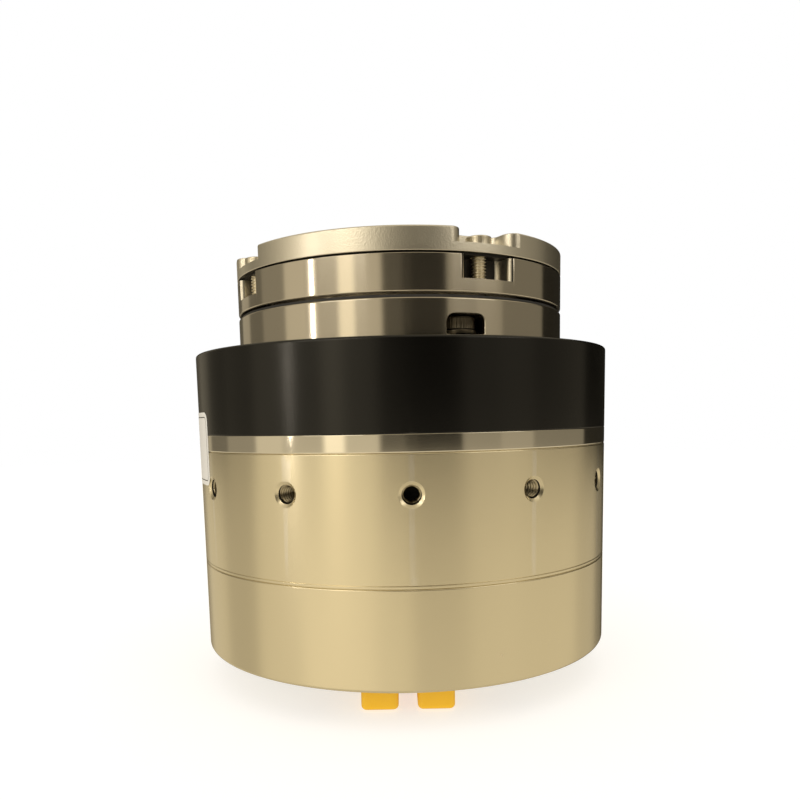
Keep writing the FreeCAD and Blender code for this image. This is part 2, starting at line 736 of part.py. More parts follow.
def crossed_rollers():
    rollers = []
    for i in range(roller_count):
        slope = 45 if i % 2 else -45
        roller = Part.makeCylinder(roller_radius, roller_length, Vector(0, 0, -roller_length / 2))
        roller.rotate(Vector(0, 0, 0), Vector(1, 0, 0), slope)
        roller.translate(Vector(0, -roller_circle, roller_level))
        rollers.append(turned(roller, 360.0 * i / roller_count))
    return rollers


def seal_ring():
    """Rubber seal in the seam between the fixed and the turning ring."""
    lip = spline_top + seal_gap - body_gap
    return revolved([
        (seal_inner_radius + locating_fit, spline_top - seal_seat), (seal_outer_radius, spline_top - seal_seat),
        (seal_outer_radius, lip), ((seal_inner_radius + seal_outer_radius) / 2, lip),
        (seal_inner_radius + locating_fit, spline_top)])


def window():
    """Window in the output ring, open to the top and to the side, under a notch of the plate."""
    floor = output_base + window_floor
    cut = block(window_width, window_inner_radius, ring_radius + 1.0, floor, ring_top + 1.0)
    left = [edge for edge in cut.Edges if edge.BoundBox.ZLength > 1 and edge.BoundBox.XMax < 0
            and edge.BoundBox.YMin > -ring_radius]
    right = [edge for edge in cut.Edges if edge.BoundBox.ZLength > 1 and edge.BoundBox.XMin > 0
             and edge.BoundBox.YMin > -ring_radius]
    return cut.makeFillet(window_corner_left, left).makeFillet(window_corner_right, right)


def output_ring():
    """Steel ring that turns with the output: outer race, screw windows and the plate's seat."""
    body = revolved([
        (outer_race_bore, output_base), (ring_radius - edge_break, output_base), (ring_radius, output_base + edge_break),
        (ring_radius, ring_top), (outer_race_bore, ring_top)])
    hole = disc(m2_radius + thread_fit, output_base, ring_top, polar(flange_screw_circle, 0))
    cuts = around(window().fuse(hole), notch_count, output_angle)
    return body.cut(cuts + [race_groove()]).removeSplitter()


def notch():
    cut = block(notch_width, notch_inner_radius, ring_radius + 1.0, flange_seat, plate_top + 1.0)
    inner = [edge for edge in cut.Edges if edge.BoundBox.ZLength > 1 and edge.BoundBox.YMin > -ring_radius]
    return cut.makeFillet(notch_inner_corner, inner)


def output_plate():
    """Output flange with four edge notches, a pilot recess, tapped holes and two dowel holes."""
    seat = tube_radius + press_fit
    plate = revolved([
        (seat, boss_top), (boss_radius - body_gap, boss_top), (boss_radius - body_gap, ring_top),
        (plate_spigot_radius - plate_spigot_width, ring_top),
        (plate_spigot_radius - plate_spigot_width, ring_top - plate_spigot),
        (plate_spigot_radius, ring_top - plate_spigot), (plate_spigot_radius, ring_top),
        (ring_radius - edge_break, ring_top), (ring_radius, ring_top + edge_break),
        (ring_radius, plate_top - edge_break), (ring_radius - edge_break, plate_top),
        (pilot_radius, plate_top), (pilot_radius, pilot_floor),
        (tube_flange_radius + locating_fit, pilot_floor),
        (tube_flange_radius + locating_fit, pilot_floor - tube_flange_height),
        (seat, pilot_floor - tube_flange_height)])
    plate = plate.cut(around(notch(), notch_count, output_angle))
    plate = plate.makeFillet(notch_outer_corner, upright_edges(plate, flange_seat, plate_top, ring_radius))
    screw_hole = disc(m2_radius + screw_clearance, ring_top, plate_top, polar(flange_screw_circle, 0))
    tapped = disc(m3_tapped_radius, boss_top, plate_top, polar(output_hole_circle, 0))
    dowel = disc(dowel_radius, boss_top, plate_top, polar(output_hole_circle, 0))
    clamp_hole = disc(m25_radius + screw_clearance, boss_top, plate_top, polar(clamp_screw_circle, 0))
    clamp_hole = clamp_hole.fuse(disc(m25_head_radius + screw_clearance, clamp_seat, plate_top, polar(clamp_screw_circle, 0)))
    cuts = around(screw_hole, notch_count, output_angle)
    cuts += around(tapped, output_hole_count, output_angle + output_hole_shift)
    cuts += around(dowel, dowel_count, output_angle)
    cuts += around(clamp_hole, clamp_screw_count, output_angle)
    return plate.cut(cuts).removeSplitter()


def flange_screws():
    length = flange_seat - output_base - flange_screw_end_gap
    screw = cap_screw(m2_radius, length, m2_head_radius, m2_head_height, m2_hex,
                      flange_seat, polar(flange_screw_circle, 0))
    return around(screw, notch_count, output_angle)


def hollow_tube():
    """Still tube through the fast rotor; it turns with the output and guards the cables inside."""
    flange_base = pilot_floor - tube_flange_height
    return revolved([
        (tube_bore_radius, tube_recess), (tube_radius, tube_recess), (tube_radius, flange_base),
        (tube_flange_radius, flange_base), (tube_flange_radius, pilot_floor), (tube_bore_radius, pilot_floor)])


def output_encoder_magnet():
    base = encoder_board_level - sensor_height - sensor_gap - magnet_ring_height
    return ring(output_magnet_radius, tube_radius + press_fit, base, base + magnet_ring_height)


# ---- Motor ----

def motor_shaft():
    groove = shaft_radius - circlip_thickness / 2
    return revolved([
        (shaft_bore_radius, rotor_magnet_base), (shaft_radius, rotor_magnet_base),
        (shaft_radius, rear_bearing_base + bearing_width), (shoulder_radius, rear_bearing_base + bearing_width),
        (shoulder_radius, front_bearing_base), (shaft_radius, front_bearing_base), (shaft_radius, cam_top),
        (groove, cam_top), (groove, cam_top + circlip_thickness),
        (shaft_radius, cam_top + circlip_thickness), (shaft_radius, cam_top + 2 * circlip_thickness),
        (shaft_bore_radius, cam_top + 2 * circlip_thickness)])


def rotor_hub():
    """Steel rim for the magnets on a web with lightening holes."""
    middle = (stack_base + stack_top) / 2
    half_rim = (stack_top - stack_base) / 2 + coil_gap * 2
    half_web = rotor_web_thickness / 2
    inner_rim = rotor_rim_bore
    collar = rotor_collar_radius
    hub = revolved([
        (shoulder_radius + press_fit, middle - rotor_hub_length / 2), (collar, middle - rotor_hub_length / 2),
        (collar, middle - half_web), (inner_rim, middle - half_web), (inner_rim, middle - half_rim),
        (rim_radius, middle - half_rim), (rim_radius, middle + half_rim), (inner_rim, middle + half_rim),
        (inner_rim, middle + half_web), (collar, middle + half_web), (collar, middle + rotor_hub_length / 2),
        (shoulder_radius + press_fit, middle + rotor_hub_length / 2)])
    hole_radius = (inner_rim - collar) / 2 - rotor_hole_edge
    hole = disc(hole_radius, stack_base, stack_top, polar((collar + inner_rim) / 2, 0))
    return hub.cut(around(hole, rotor_hole_count))


def rotor_magnets():
    magnet = sector(magnet_outer_radius, rim_radius + press_fit, stack_base, stack_top, magnet_angle)
    return around(magnet, magnet_count)


def rotor_encoder_magnet():
    return ring(magnet_ring_radius, shaft_radius + press_fit, rotor_magnet_base, rotor_magnet_base + magnet_ring_height)


def stator_core():
    """Laminated stack: a yoke and its teeth, each with a curved shoe at the air gap."""
    yoke = stator_radius - yoke_thickness
    core = ring(stator_radius, yoke, stack_base, stack_top)
    tooth = block(stator_tooth_width, stator_bore_radius + stator_shoe_height / 2, yoke + 1.0, stack_base, stack_top)
    shoe = sector(stator_bore_radius + stator_shoe_height, stator_bore_radius, stack_base, stack_top, stator_shoe_angle)
    return core.fuse(around(tooth.fuse(shoe), slot_count)).removeSplitter()


def stator_coils():
    half = stator_tooth_width / 2 + coil_gap
    inner = stator_bore_radius + stator_shoe_height + 2 * coil_gap
    outer = math.sqrt((stator_radius - yoke_thickness - coil_gap) ** 2 - (half + coil_thickness) ** 2)
    coil = block(2 * (half + coil_thickness), inner, outer, stack_base - coil_overhang, stack_top + coil_overhang)
    along = [edge for edge in coil.Edges if edge.BoundBox.YLength > coil_thickness]
    coil = coil.makeFillet(coil_thickness * 0.7, along)
    hole = block(2 * half, inner - 1.0, outer + 1.0, stack_base - coil_gap, stack_top + coil_gap)
    return around(coil.cut(hole), slot_count)


def phase_leads():
    high = stack_base - coil_overhang
    return [disc(phase_lead_radius, driver_board_top, high, polar(phase_lead_circle, angle)) for angle in phase_lead_angles]


def ball_groove(base):
    level = base + bearing_width / 2
    return Part.makeTorus(bearing_pitch_radius, bearing_ball_radius + bearing_ball_fit, Vector(0, 0, level))


def bearing_inner(base):
    return ring(shaft_radius + bearing_ring_thickness, shaft_radius, base, base + bearing_width).cut(ball_groove(base))


def bearing_outer(base):
    """Outer ring with its two shields."""
    race = bearing_radius - bearing_ring_thickness
    outer = ring(bearing_radius, race, base, base + bearing_width).cut(ball_groove(base))
    lip = shaft_radius + bearing_ring_thickness + body_gap
    shield = ring(race, lip, base, base + bearing_shield_thickness)
    far = ring(race, lip, base + bearing_width - bearing_shield_thickness, base + bearing_width)
    return outer.fuse([shield, far]).removeSplitter()


def bearing_balls(base):
    ball = Part.makeSphere(bearing_ball_radius, polar(bearing_pitch_radius, 0, base + bearing_width / 2))
    return around(ball, bearing_ball_count)


# ---- Electronics ----

def driver_board():
    top = driver_board_top
    board = ring(cover_bore - driver_board_edge_gap, driver_board_bore, driver_board_level, top)
    scallop = disc(cover_boss_radius + body_gap, driver_board_level, top, polar(cover_screw_circle, 0))
    hole = disc(m2_radius + screw_clearance, driver_board_level, top, polar(driver_standoff_circle, 0))
    cuts = around(scallop, cover_screw_count, cover_screw_angle)
    return board.cut(cuts + around(hole, driver_standoff_count, driver_standoff_angle))


def standoffs(count, first, circle, flats, low, high):
    post = hexagon(flats, low, high, polar(circle, 0))
    post = post.cut(disc(m2_radius + thread_fit, low, low + (high - low) / 2, polar(circle, 0)))
    return around(post, count, first)


def board_screws(count, first, circle, level, length):
    """Low-headed screws that come from the rear through a board."""
    spot = polar(circle, 0)
    head = disc(m2_head_radius, level - board_head_height, level, spot)
    screw = head.fuse(disc(m2_radius, level, level + length, spot))
    screw = screw.cut(hexagon(m2_hex, level - board_head_height, level - board_head_height / 2, spot))
    return around(screw.removeSplitter(), count, first)


def encoder_board():
    top = encoder_board_top
    board = ring(encoder_board_radius, encoder_board_bore, encoder_board_level, top)
    hole = disc(m2_radius + screw_clearance, encoder_board_level, top, polar(encoder_standoff_circle, 0))
    return board.cut(around(hole, encoder_standoff_count, encoder_standoff_angle))


def encoder_sensors():
    """One sensor faces the rotor's magnet ring, the other the output's."""
    top = encoder_board_top
    front = block(sensor_size, sensor_circle - sensor_size / 2, sensor_circle + sensor_size / 2, top, top + sensor_height)
    rear = block(sensor_size, sensor_circle - sensor_size / 2, sensor_circle + sensor_size / 2,
                 encoder_board_level - sensor_height, encoder_board_level)
    return [front, turned(rear, 180)]


def power_mosfets():
    base = driver_board_top
    half = mosfet_length / 2
    chip = block(mosfet_width, mosfet_circle - half, mosfet_circle + half, base, base + mosfet_height)
    return [turned(chip, angle) for angle in mosfet_angles]


def controller_chip():
    base = driver_board_top
    half = controller_size / 2
    return block(controller_size, mosfet_circle - half, mosfet_circle + half, base, base + controller_height)


def bus_capacitors():
    base = driver_board_top
    return [disc(capacitor_radius, base, base + capacitor_height, polar(capacitor_circle, angle))
            for angle in capacitor_angles]


def connector_places():
    return [-connector_spacing / 2, connector_spacing / 2]


def connector_windows():
    """Openings in the cover's floor for the two connectors."""
    windows = []
    gap = connector_window_gap
    for shift in connector_places():
        cut = block(connector_width + 2 * gap, connector_front - connector_length - gap, connector_front + gap,
                    -1.0, cover_floor + 1.0)
        cut.translate(Vector(shift, 0, 0))
        windows.append(turned(cut, connector_angle))
    return windows


def power_connector(shift):
    """Socket shell open towards the rear, with bevelled inner corners so that a plug goes in one way round."""
    base = -connector_reach
    half = connector_width / 2
    bevel = half * 0.45
    inner = connector_front - connector_length
    outline = [(-half, -connector_front), (half, -connector_front), (half, -inner - bevel),
               (half - bevel, -inner), (bevel - half, -inner), (-half, -inner - bevel)]
    wire = Part.makePolygon([Vector(x, y, base) for x, y in outline + outline[:1]])
    shell = Part.Face(wire).extrude(Vector(0, 0, driver_board_level - base))
    front_edges = [edge for edge in shell.Edges if edge.BoundBox.YMax < -connector_front + 1e-6
                   and edge.BoundBox.ZMax < driver_board_level]
    front_edges += [edge for edge in shell.Edges if edge.BoundBox.ZLength > 1
                    and edge.BoundBox.YMax < -connector_front + 1e-6]
    front_edges += [edge for edge in shell.Edges if edge.BoundBox.ZMax < base + 1e-6
                    and edge.BoundBox.YLength > connector_length / 2]
    shell = shell.makeFillet(connector_corner, front_edges)
    cavity = [(x * (half - connector_wall) / half, y) for x, y in outline]
    low, high = -connector_front + connector_wall, -inner - connector_wall
    cavity = [(x, min(max(y, low), high)) for x, y in cavity]
    mouth = Part.makePolygon([Vector(x, y, base) for x, y in cavity + cavity[:1]])
    shell = shell.cut(Part.Face(mouth).extrude(Vector(0, 0, connector_depth)))
    for radius, place in connector_pin_places():
        floor = Vector(0, -connector_front + place, 0)
        shell = shell.cut(disc(radius + press_fit, base + connector_depth, driver_board_level, floor))
    shell.translate(Vector(shift, 0, 0))
    return turned(shell, connector_angle)


def connector_pin_places():
    power = [(power_pin_radius, place) for place in power_pin_places]
    return power + [(signal_pin_radius, place) for place in signal_pin_places]


def connector_pins():
    pins = []
    for shift in connector_places():
        for radius, place in connector_pin_places():
            spot = Vector(shift, -connector_front + place, 0)
            pin = disc(radius, -connector_reach + pin_tip_gap, driver_board_level, spot)
            pins.append(turned(pin, connector_angle))
    return pins


# ---- All pieces ----

def pieces():
    driver_span = (driver_board_top, cover_top)
    encoder_span = (encoder_board_top, cover_top)
    driver_places = (driver_standoff_count, driver_standoff_angle, driver_standoff_circle)
    encoder_places = (encoder_standoff_count, encoder_standoff_angle, encoder_standoff_circle)
    left, right = connector_places()
    return {
        "rear_cover": rear_cover(),
        "rear_cover_screws": rear_cover_screws(),
        "motor_housing": motor_housing(),
        "front_end_plate": front_end_plate(),
        "front_housing": front_housing(),
        "housing_screws": housing_screws(),
        "circular_spline": circular_spline(),
        "reducer_screws": reducer_screws(),
        "reducer_lock_washers": reducer_lock_washers(),
        "bearing_inner_ring": bearing_inner_ring(),
        "seal_ring": seal_ring(),
        "crossed_rollers": crossed_rollers(),
        "output_ring": output_ring(),
        "output_plate": output_plate(),
        "flange_screws": flange_screws(),
        "flexspline": flexspline(),
        "flexspline_clamp": flexspline_clamp(),
        "flexspline_screws": flexspline_screws(),
        "hollow_tube": hollow_tube(),
        "output_encoder_magnet": output_encoder_magnet(),
        "motor_shaft": motor_shaft(),
        "rotor_hub": rotor_hub(),
        "rotor_magnets": rotor_magnets(),
        "rotor_encoder_magnet": rotor_encoder_magnet(),
        "stator_core": stator_core(),
        "stator_coils": stator_coils(),
        "phase_leads": phase_leads(),
        "rear_bearing_inner": bearing_inner(rear_bearing_base),
        "rear_bearing_outer": bearing_outer(rear_bearing_base),
        "rear_bearing_balls": bearing_balls(rear_bearing_base),
        "front_bearing_inner": bearing_inner(front_bearing_base),
        "front_bearing_outer": bearing_outer(front_bearing_base),
        "front_bearing_balls": bearing_balls(front_bearing_base),
        "wave_generator_spacer": wave_generator_spacer(),
        "wave_generator_cam": wave_generator_cam(),
        "wave_generator_circlip": wave_generator_circlip(),
        "wave_bearing_inner_race": wave_bearing_inner_race(),
        "wave_bearing_balls": wave_bearing_balls(),
        "wave_bearing_outer_race": wave_bearing_outer_race(),
        "driver_board": driver_board(),
        "driver_board_standoffs": standoffs(*driver_places, driver_standoff_hex, *driver_span),
        "driver_board_screws": board_screws(*driver_places, driver_board_level, board_thickness + driver_screw_reach),
        "power_mosfets": power_mosfets(),
        "controller_chip": controller_chip(),
        "bus_capacitors": bus_capacitors(),
        "encoder_board": encoder_board(),
        "encoder_board_standoffs": standoffs(*encoder_places, encoder_standoff_hex, *encoder_span),
        "encoder_board_screws": board_screws(*encoder_places, encoder_board_level, encoder_board_thickness + encoder_screw_reach),
        "encoder_sensors": encoder_sensors(),
        "power_connector_left": power_connector(left),
        "power_connector_right": power_connector(right),
        "connector_pins": connector_pins(),
    }


def main():
    os.makedirs("parts", exist_ok=True)
    for name, shape in pieces().items():
        solids = Part.makeCompound(shape) if isinstance(shape, list) else shape
        solids.exportStep("parts/" + name + ".step")


main()
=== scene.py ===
import bmesh
import bpy
import json
import math
from mathutils import Matrix, Vector


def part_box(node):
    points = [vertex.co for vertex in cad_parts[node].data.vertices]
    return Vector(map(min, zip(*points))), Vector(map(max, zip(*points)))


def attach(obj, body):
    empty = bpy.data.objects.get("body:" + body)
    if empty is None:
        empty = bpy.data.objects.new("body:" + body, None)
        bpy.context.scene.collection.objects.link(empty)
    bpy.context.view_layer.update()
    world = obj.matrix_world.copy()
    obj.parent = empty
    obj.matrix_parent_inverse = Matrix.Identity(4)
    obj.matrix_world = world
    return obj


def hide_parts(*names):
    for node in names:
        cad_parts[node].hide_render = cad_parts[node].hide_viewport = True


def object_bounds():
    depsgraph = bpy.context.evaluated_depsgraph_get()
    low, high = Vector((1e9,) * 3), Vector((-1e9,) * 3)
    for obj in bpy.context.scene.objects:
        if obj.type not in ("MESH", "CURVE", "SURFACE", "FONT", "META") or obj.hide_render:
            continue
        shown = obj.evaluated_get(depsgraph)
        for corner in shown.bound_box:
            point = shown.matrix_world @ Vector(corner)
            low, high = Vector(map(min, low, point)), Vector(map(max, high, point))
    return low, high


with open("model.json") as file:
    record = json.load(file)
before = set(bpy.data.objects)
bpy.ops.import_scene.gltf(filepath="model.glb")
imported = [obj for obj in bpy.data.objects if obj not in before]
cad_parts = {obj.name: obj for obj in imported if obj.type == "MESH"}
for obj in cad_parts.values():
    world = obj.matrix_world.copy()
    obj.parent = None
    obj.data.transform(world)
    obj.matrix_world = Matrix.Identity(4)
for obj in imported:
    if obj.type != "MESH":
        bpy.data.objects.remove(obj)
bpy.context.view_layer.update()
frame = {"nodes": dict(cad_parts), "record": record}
mm = 0.001
print("stage: frame loaded")


# Lengths are in millimetres and angles in degrees about Z from the front (-Y), until a mesh is made.
def lowEnd(node):
    return round(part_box(node)[0].z / mm, 2)


def highEnd(node):
    return round(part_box(node)[1].z / mm, 2)


def reach(node):
    return round(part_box(node)[1].x / mm, 1)


housingRadius = reach("motor_housing")
ringRadius = reach("output_ring")
level = {
    "coverTop": highEnd("rear_cover"),
    "housingTop": highEnd("motor_housing"),
    "bandTop": lowEnd("front_housing"),
    "blackTop": highEnd("front_housing"),
    "splineTop": highEnd("circular_spline"),
    "outputBase": lowEnd("output_ring"),
    "ringTop": highEnd("output_ring"),
    "plateTop": highEnd("output_plate"),
}


overshoot = 0.02    # how far a cutter passes a face before its mouth ends


# Point at a distance from the axis, in a direction.
def polar(radius, angle, z=0.0):
    turn = math.radians(angle)
    return Vector((radius * math.sin(turn), -radius * math.cos(turn), z))


# Outline with its corners rounded: a point is (u, v) or (u, v, corner radius).
def softened(points, steps=5):
    outline = []
    for index, point in enumerate(points):
        here = Vector(point[:2])
        if len(point) < 3 or not point[2]:
            outline.append(here)
            continue
        before = (Vector(points[index - 1][:2]) - here).normalized()
        after = (Vector(points[(index + 1) % len(points)][:2]) - here).normalized()
        half = before.angle(after) / 2
        centre = here + (before + after).normalized() * point[2] / math.sin(half)
        start = here + before * point[2] / math.tan(half) - centre
        end = here + after * point[2] / math.tan(half) - centre
        sweep = start.angle_signed(end)
        for step in range(steps + 1):
            turn = Matrix.Rotation(-sweep * step / steps, 2)
            outline.append(centre + turn @ start)
    return outline


def roundedBox(half, low, high, lowCorner, highCorner, steps=5):
    return softened([(-half, low, lowCorner), (half, low, lowCorner), (half, high, highCorner),
                     (-half, high, highCorner)], steps)


# Outline moved outwards by a distance, for an outline that runs either way round.
def grown(outline, distance):
    area = sum(a.cross(b) for a, b in zip(outline, outline[1:] + outline[:1]))
    side = 1 if area > 0 else -1
    result = []
    for index, point in enumerate(outline):
        before = (point - outline[index - 1]).normalized()
        after = (outline[(index + 1) % len(outline)] - point).normalized()
        along = before + after
        if along.length < 1e-6:
            along = after
        normal = Vector((along.y, -along.x)).normalized() * side
        spread = max(0.5, normal.dot(Vector((after.y, -after.x)) * side))
        result.append(point + normal * distance / spread)
    return result


# Skin over loops of equally many points. A shape is a list of points and a list of faces.
def joined(loops, closed=False, caps=True):
    count = len(loops[0])
    verts = [point for loop in loops for point in loop]
    faces = []
    for row in range(len(loops) if closed else len(loops) - 1):
        here, there = row * count, (row + 1) % len(loops) * count
        for index in range(count):
            after = (index + 1) % count
            faces.append((here + index, here + after, there + after, there + index))
    if caps and not closed:
        faces.append(tuple(range(count)))
        faces.append(tuple(range(len(verts) - count, len(verts))))
    return verts, faces


def lathe(outline, segments=360):
    angles = [360 * step / segments for step in range(segments)]
    return joined([[polar(point.x, angle, point.y) for point in outline] for angle in angles], closed=True)


def prism(outline, steps):
    return joined([[Vector((point.x, point.y, z)) for point in grown(outline, grow)] for z, grow in steps])


# Solid of revolution about the line through (0, y, height), for holes drilled from the front.
def drill(steps, height, sides=48):
    turns = [math.tau * side / sides for side in range(sides)]
    return joined([[Vector((radius * math.cos(turn), y, height + radius * math.sin(turn))) for turn in turns]
                   for y, radius in steps])


# Pocket cut from the side: an outline (across, up) that keeps its size while it goes inwards.
def sidePocket(outline, steps, back):
    loops = []
    for radius, grow in steps:
        loops.append([Vector((p.x, -math.sqrt(radius ** 2 - p.x ** 2), p.y)) for p in grown(outline, grow)])
    loops.append([Vector((p.x, -back, p.y)) for p in outline])
    return joined(loops)


# Round cutter along Z from steps of (z, radius).
def roundCutter(steps, centre, sides=48):
    angles = [360 * side / sides for side in range(sides)]
    return joined([[centre + polar(size, angle, z) for angle in angles] for z, size in steps])


# Round hole that opens at its high end, where a flare breaks the edge.
def roundHole(radius, low, high, centre, sides=48, flare=0.0):
    steps = [(low, radius), (high - flare, radius)]
    if flare:
        steps += [(high - flare * 0.3, radius + flare * 0.3), (high + overshoot, radius + flare),
                  (high + 1, radius + flare * 2)]
    else:
        steps.append((high + overshoot, radius))
    return roundCutter(steps, centre, sides)


def moved(shape, matrix):
    return [matrix @ Vector(point) for point in shape[0]], shape[1]


def around(shape, count, first=0.0):
    turns = [math.radians(first + 360 * copy / count) for copy in range(count)]
    return [moved(shape, Matrix.Rotation(turn, 4, "Z")) for turn in turns]


def merged(shapes):
    verts, faces = [], []
    for points, polygons in shapes:
        start = len(verts)
        verts += points
        faces += [tuple(start + index for index in polygon) for polygon in polygons]
    return verts, faces


def makeObject(name, shape):
    mesh = bpy.data.meshes.new(name)
    mesh.from_pydata([Vector(point) * mm for point in shape[0]], [], shape[1])
    work = bmesh.new()
    work.from_mesh(mesh)
    bmesh.ops.recalc_face_normals(work, faces=work.faces)
    work.to_mesh(mesh)
    work.free()
    made = bpy.data.objects.new(name, mesh)
    bpy.context.scene.collection.objects.link(made)
    return made


def carve(made, cutters):
    tool = makeObject("cutter", merged(cutters))
    modifier = made.modifiers.new("cut", "BOOLEAN")
    modifier.operation = "DIFFERENCE"
    modifier.solver = "EXACT"
    modifier.object = tool
    result = bpy.data.meshes.new_from_object(made.evaluated_get(bpy.context.evaluated_depsgraph_get()))
    made.modifiers.clear()
    made.data = result
    made.data.name = made.name
    bpy.data.objects.remove(tool)


# Dresses a piece in its slot's finish or in another one, ties it to its body and hides the nodes it replaces.
def finishPiece(made, body, slotName, replaced=(), finishName=None, sharpAngle=32):
    made.data.shade_smooth()
    made.data.set_sharp_from_angle(angle=math.radians(sharpAngle))
    made.data.materials.clear()
    made.data.materials.append(materials[finishName or slotFinish[slotName]])
    levelled = made.modifiers.new("levelledNormals", "WEIGHTED_NORMAL")    # holes don't streak flat faces
    levelled.keep_sharp = True
    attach(made, body)
    for node in replaced:
        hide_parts(node)


# Gives some faces a further finish: choose tells from a face's middle and normal which one, or 0.
def dressFaces(made, finishNames, choose):
    for name in finishNames:
        made.data.materials.append(materials[name])
    for polygon in made.data.polygons:
        polygon.material_index = choose(polygon.center / mm, polygon.normal)


# Copies of one screw or washer, set on a circle in a pattern's places, as one object.
def makeSet(name, shape, circle, pattern):
    placed = moved(shape, Matrix.Translation(polar(circle, 0)))
    return makeObject(name, merged(around(placed, pattern["count"], pattern["first"])))


# Builds an empty shader node group with its sockets.
def makeGroup(name, inputs, outputs):
    group = bpy.data.node_groups.new(name, "ShaderNodeTree")
    for label, kind, value in inputs:
        group.interface.new_socket(name=label, in_out="INPUT", socket_type=kind).default_value = value
    for label, kind in outputs:
        group.interface.new_socket(name=label, in_out="OUTPUT", socket_type=kind)
    return group, group.nodes.new("NodeGroupInput"), group.nodes.new("NodeGroupOutput")


def mathNode(tree, operation, first, second=None):
    node = tree.nodes.new("ShaderNodeMath")
    node.operation = operation
    for index, value in enumerate((first, second)):
        if value is None:
            continue
        if isinstance(value, (int, float)):
            node.inputs[index].default_value = value
        else:
            tree.links.new(value, node.inputs[index])
    return node.outputs[0]


def noiseNode(tree, vector, scale, detail, roughness=0.5):
    node = tree.nodes.new("ShaderNodeTexNoise")
    node.inputs["Scale"].default_value = scale
    node.inputs["Detail"].default_value = detail
    node.inputs["Roughness"].default_value = roughness
    tree.links.new(vector, node.inputs["Vector"])
    return node.outputs["Fac"]


# Mix of two colours, each a constant or another node's colour.
def colorMix(tree, share, first, second):
    node = tree.nodes.new("ShaderNodeMix")
    node.data_type = "RGBA"
    tree.links.new(share, node.inputs["Factor"])
    for name, color in (("A", first), ("B", second)):
        if isinstance(color, tuple):
            node.inputs[name].default_value = color
        else:
            tree.links.new(color, node.inputs[name])
    return node.outputs["Result"]


# Noise values are the scale, the detail and, where it isn't plain, the roughness.
grainNoise = {"around": 0.35, "across": 900.0, "lines": (9.0, 4.0, 0.7), "turnedDrift": (70.0, 3.0),
              "blastedDrift": (160.0, 4.0), "wearPatches": (300.0, 3.0)}


# Fine lines that run round the axis, as a lathe or a ring grinder leaves them.
def turnedGroup():
    group, start, end = makeGroup("turnedGrain", [("Fineness", "NodeSocketFloat", 1.0)],
                                  [("Lines", "NodeSocketFloat"), ("Drift", "NodeSocketFloat")])
    place = group.nodes.new("ShaderNodeTexCoord").outputs["Object"]
    split = group.nodes.new("ShaderNodeSeparateXYZ")
    group.links.new(place, split.inputs[0])
    x, y, z = split.outputs
    angle = mathNode(group, "ARCTAN2", x, y)
    radius = mathNode(group, "SQRT", mathNode(group, "ADD", mathNode(group, "MULTIPLY", x, x),
                                              mathNode(group, "MULTIPLY", y, y)))
    across = mathNode(group, "MULTIPLY", mathNode(group, "ADD", z, radius), start.outputs["Fineness"])
    combine = group.nodes.new("ShaderNodeCombineXYZ")
    group.links.new(mathNode(group, "MULTIPLY", angle, grainNoise["around"]), combine.inputs[0])
    group.links.new(mathNode(group, "MULTIPLY", across, grainNoise["across"]), combine.inputs[1])
    group.links.new(noiseNode(group, combine.outputs[0], *grainNoise["lines"]), end.inputs["Lines"])
    group.links.new(noiseNode(group, place, *grainNoise["turnedDrift"]), end.inputs["Drift"])
    return group


# Tiny dents of a bead-blasted or cast skin.
def blastGroup():
    group, start, end = makeGroup("blastGrain", [("Scale", "NodeSocketFloat", 4500.0)],
                                  [("Dents", "NodeSocketFloat"), ("Drift", "NodeSocketFloat")])
    place = group.nodes.new("ShaderNodeTexCoord").outputs["Object"]
    cells = group.nodes.new("ShaderNodeTexVoronoi")
    group.links.new(place, cells.inputs["Vector"])
    group.links.new(start.outputs["Scale"], cells.inputs["Scale"])
    group.links.new(cells.outputs["Distance"], end.inputs["Dents"])
    group.links.new(noiseNode(group, place, *grainNoise["blastedDrift"]), end.inputs["Drift"])
    return group


# Mask of convex edges, where handling has rubbed the skin and where a painted highlight lights the edge.
def wearAndGlintGroup():
    limits = [("Start", "NodeSocketFloat", 0.53), ("End", "NodeSocketFloat", 0.60)]
    group, start, end = makeGroup("edgeWearAndGlint", limits, [("Mask", "NodeSocketFloat")])
    edge = group.nodes.new("ShaderNodeNewGeometry").outputs["Pointiness"]
    ramp = group.nodes.new("ShaderNodeMapRange")
    group.links.new(edge, ramp.inputs["Value"])
    group.links.new(start.outputs["Start"], ramp.inputs["From Min"])
    group.links.new(start.outputs["End"], ramp.inputs["From Max"])
    place = group.nodes.new("ShaderNodeTexCoord").outputs["Object"]
    patches = noiseNode(group, place, *grainNoise["wearPatches"])
    group.links.new(mathNode(group, "MULTIPLY", ramp.outputs[0], patches), end.inputs["Mask"])
    return group


groups = {"turned": turnedGroup(), "blasted": blastGroup(), "wearAndGlint": wearAndGlintGroup()}
